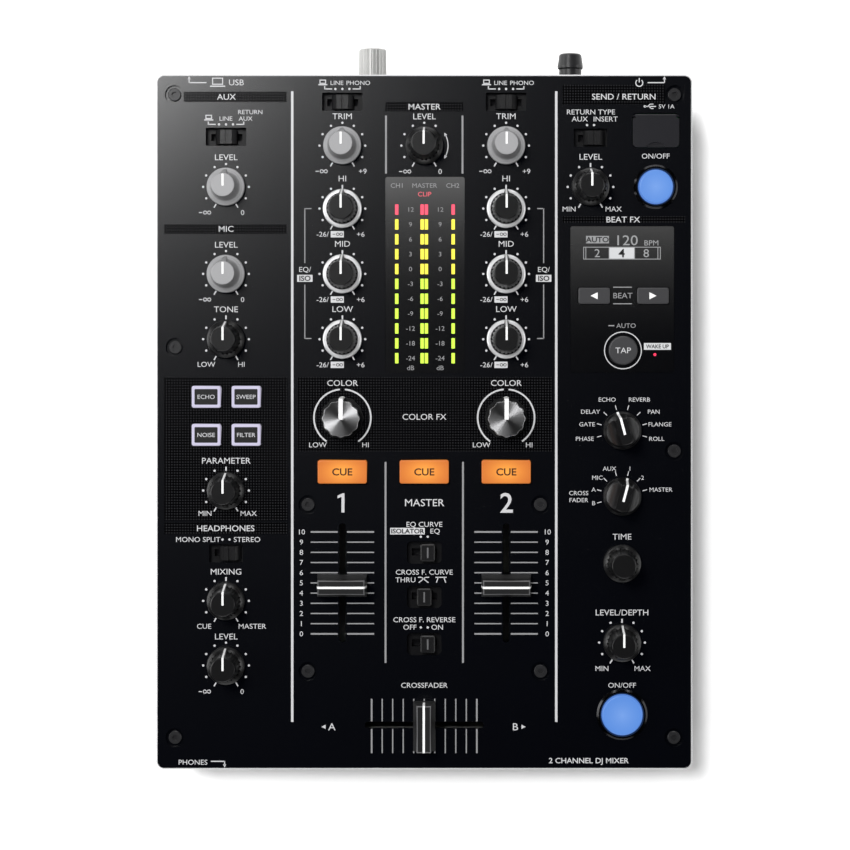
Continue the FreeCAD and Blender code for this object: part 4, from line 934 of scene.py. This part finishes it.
def fader_finish(node):
    """The tongue under the cap is steel and the bevel round the crown is painted a lighter grey, a painted
    highlight.
    """
    cap_low, crown = PLATE_Z + 1.15, top(node)

    def choose(point, normal):
        if point.z < cap_low:
            return 1
        return 2 if point.z > crown - 0.5 and 0.3 < normal.z < 0.95 else 0
    return choose


paint("top_panel", "plate", "rim", choose=plate_finish)
paint("windows", "display_pane", "meter_pane",
      choose=lambda point, normal: 1 if point.x < PLATE_X + 30 else 0)
paint("button_bezels", "bezel")
paint("case_tub", "case")
paint("rear_panel", "case")
paint("rubber_feet", "rubber")
paint("screws", "screw")
paint("circuit_boards", "board")
paint("control_units", "control")
paint("fader_units", "zinc")
paint("rca_sockets", "rca", "rca_white", "rca_red", choose=rca_finish)
paint("plug_sockets", "socket", "nut", "hook", choose=socket_finish)
paint("usb_cover", "cover")
paint("ground_terminal", "terminal")
paint("power_button", "key")
for node in knobs:
    if node in RINGED:
        paint(node, "knob", "ring", choose=ring_finish(node))
    elif "color" in node:
        paint(node, "knob", "spun", "pointer", choose=color_finish(node))
    elif node in SMOOTH:
        paint(node, "grey")
    else:
        paint(node, "knob")
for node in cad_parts:
    if node.endswith("_switch"):
        paint(node, "slider")
for node in FADERS:
    paint(node, "fader", "rod", "bevel", choose=fader_finish(node))
# The lit keys get painted shade: black below the faceplate, in the gap round each key.
for node in CUE_KEYS:
    lit = glow_from_middle("orange", node, (1.0, 0.47, 0.07), (0.42, 0.12, 0.02), 0.90, 10.5, 1.5)
    paint(node, lit, "black", choose=painted_shade_below_plate)
for node in EFFECT_KEYS:
    paint(node, "frame", "black", choose=painted_shade_below_plate)
for node in ("beat_left_button", "beat_right_button", "tap_button"):
    paint(node, "key")
for node in ("send_on_button", "effect_on_button"):
    paint(node, glow_from_middle("blue", node, (0.16, 0.28, 0.62), (0.07, 0.18, 0.54), 1.0, 13.0))

# ================================================================ floor, lights and camera
HALF = 6.0              # half the floor's side, in metres
floor_mesh = bpy.data.meshes.new("floor")
floor_mesh.from_pydata([(-HALF, -HALF, 0), (HALF, -HALF, 0), (HALF, HALF, 0), (-HALF, HALF, 0)],
                       [], [(0, 1, 2, 3)])
floor_material, floor_tree, floor_shader = new_material("floor_paper")
floor_shader.inputs["Base Color"].default_value = (0.97, 0.97, 0.97, 1)
floor_shader.inputs["Roughness"].default_value = 0.9
floor_shader.inputs["Specular IOR Level"].default_value = 0.1
floor_mesh.materials.append(floor_material)
floor = bpy.data.objects.new("floor", floor_mesh)
bpy.context.scene.collection.objects.link(floor)

world = bpy.data.worlds.new("studio")
bpy.context.scene.world = world
world.use_nodes = True
world.node_tree.nodes["Background"].inputs["Color"].default_value = (1, 1, 1, 1)
world.node_tree.nodes["Background"].inputs["Strength"].default_value = 0.004


def area_light(name, position, target, width, height, power, shows_in_gloss=True):
    """A soft rectangular light that faces target; sizes are in metres and power in watts."""
    data = bpy.data.lights.new(name, "AREA")
    data.shape = "RECTANGLE"
    data.size, data.size_y = width, height
    data.energy = power
    lamp_object = bpy.data.objects.new(name, data)
    lamp_object.location = position
    lamp_object.visible_glossy = shows_in_gloss
    lamp_object.rotation_mode = "QUATERNION"
    lamp_object.rotation_quaternion = (Vector(target) - Vector(position)).to_track_quat("-Z", "Y")
    bpy.context.scene.collection.objects.link(lamp_object)


area_light("key", (-0.395, 0.446, 1.165), (0, 0, 0.09), 0.32, 0.447, 5.9)
area_light("overhead", (0.02, 0.03, 2.0), (0.02, 0.03, 0), 0.50, 0.50, 7, shows_in_gloss=False)
area_light("high_left", (-0.19, 0.25, 2.0), (0, 0, 0), 0.18, 0.18, 30, shows_in_gloss=False)
area_light("left_fill", (-1.9, 0.2, 0.75), (0, 0, 0), 1.6, 1.0, 20)
area_light("right_fill", (1.9, -0.1, 0.75), (0, 0, 0), 1.6, 1.0, 12)
area_light("rear_fill", (0.1, 2.0, 0.80), (0, 0, 0), 1.8, 1.0, 18)
area_light("front_fill", (0.0, -2.0, 0.75), (0, 0, 0), 1.8, 1.0, 10)

camera_data = bpy.data.cameras.new("camera")
camera = bpy.data.objects.new("camera", camera_data)
bpy.context.scene.collection.objects.link(camera)
bpy.context.scene.camera = camera
HEIGHT = 1.03          # camera above the faceplate, in metres
VIEW_WIDTH = 0.3645    # width of the view at the faceplate, in metres
SENSOR = 36.0          # millimetres
camera_data.sensor_width = SENSOR
camera_data.lens = SENSOR * HEIGHT / VIEW_WIDTH
camera_data.shift_x = -0.0485
camera_data.shift_y = -0.0941
camera_data.clip_end = 20.0
camera.location = ((PLATE_X + 18.0) * MM, (PLATE_Y + 33.0) * MM, PLATE_Z * MM + HEIGHT)

bpy.context.scene.view_settings.view_transform = "Standard"
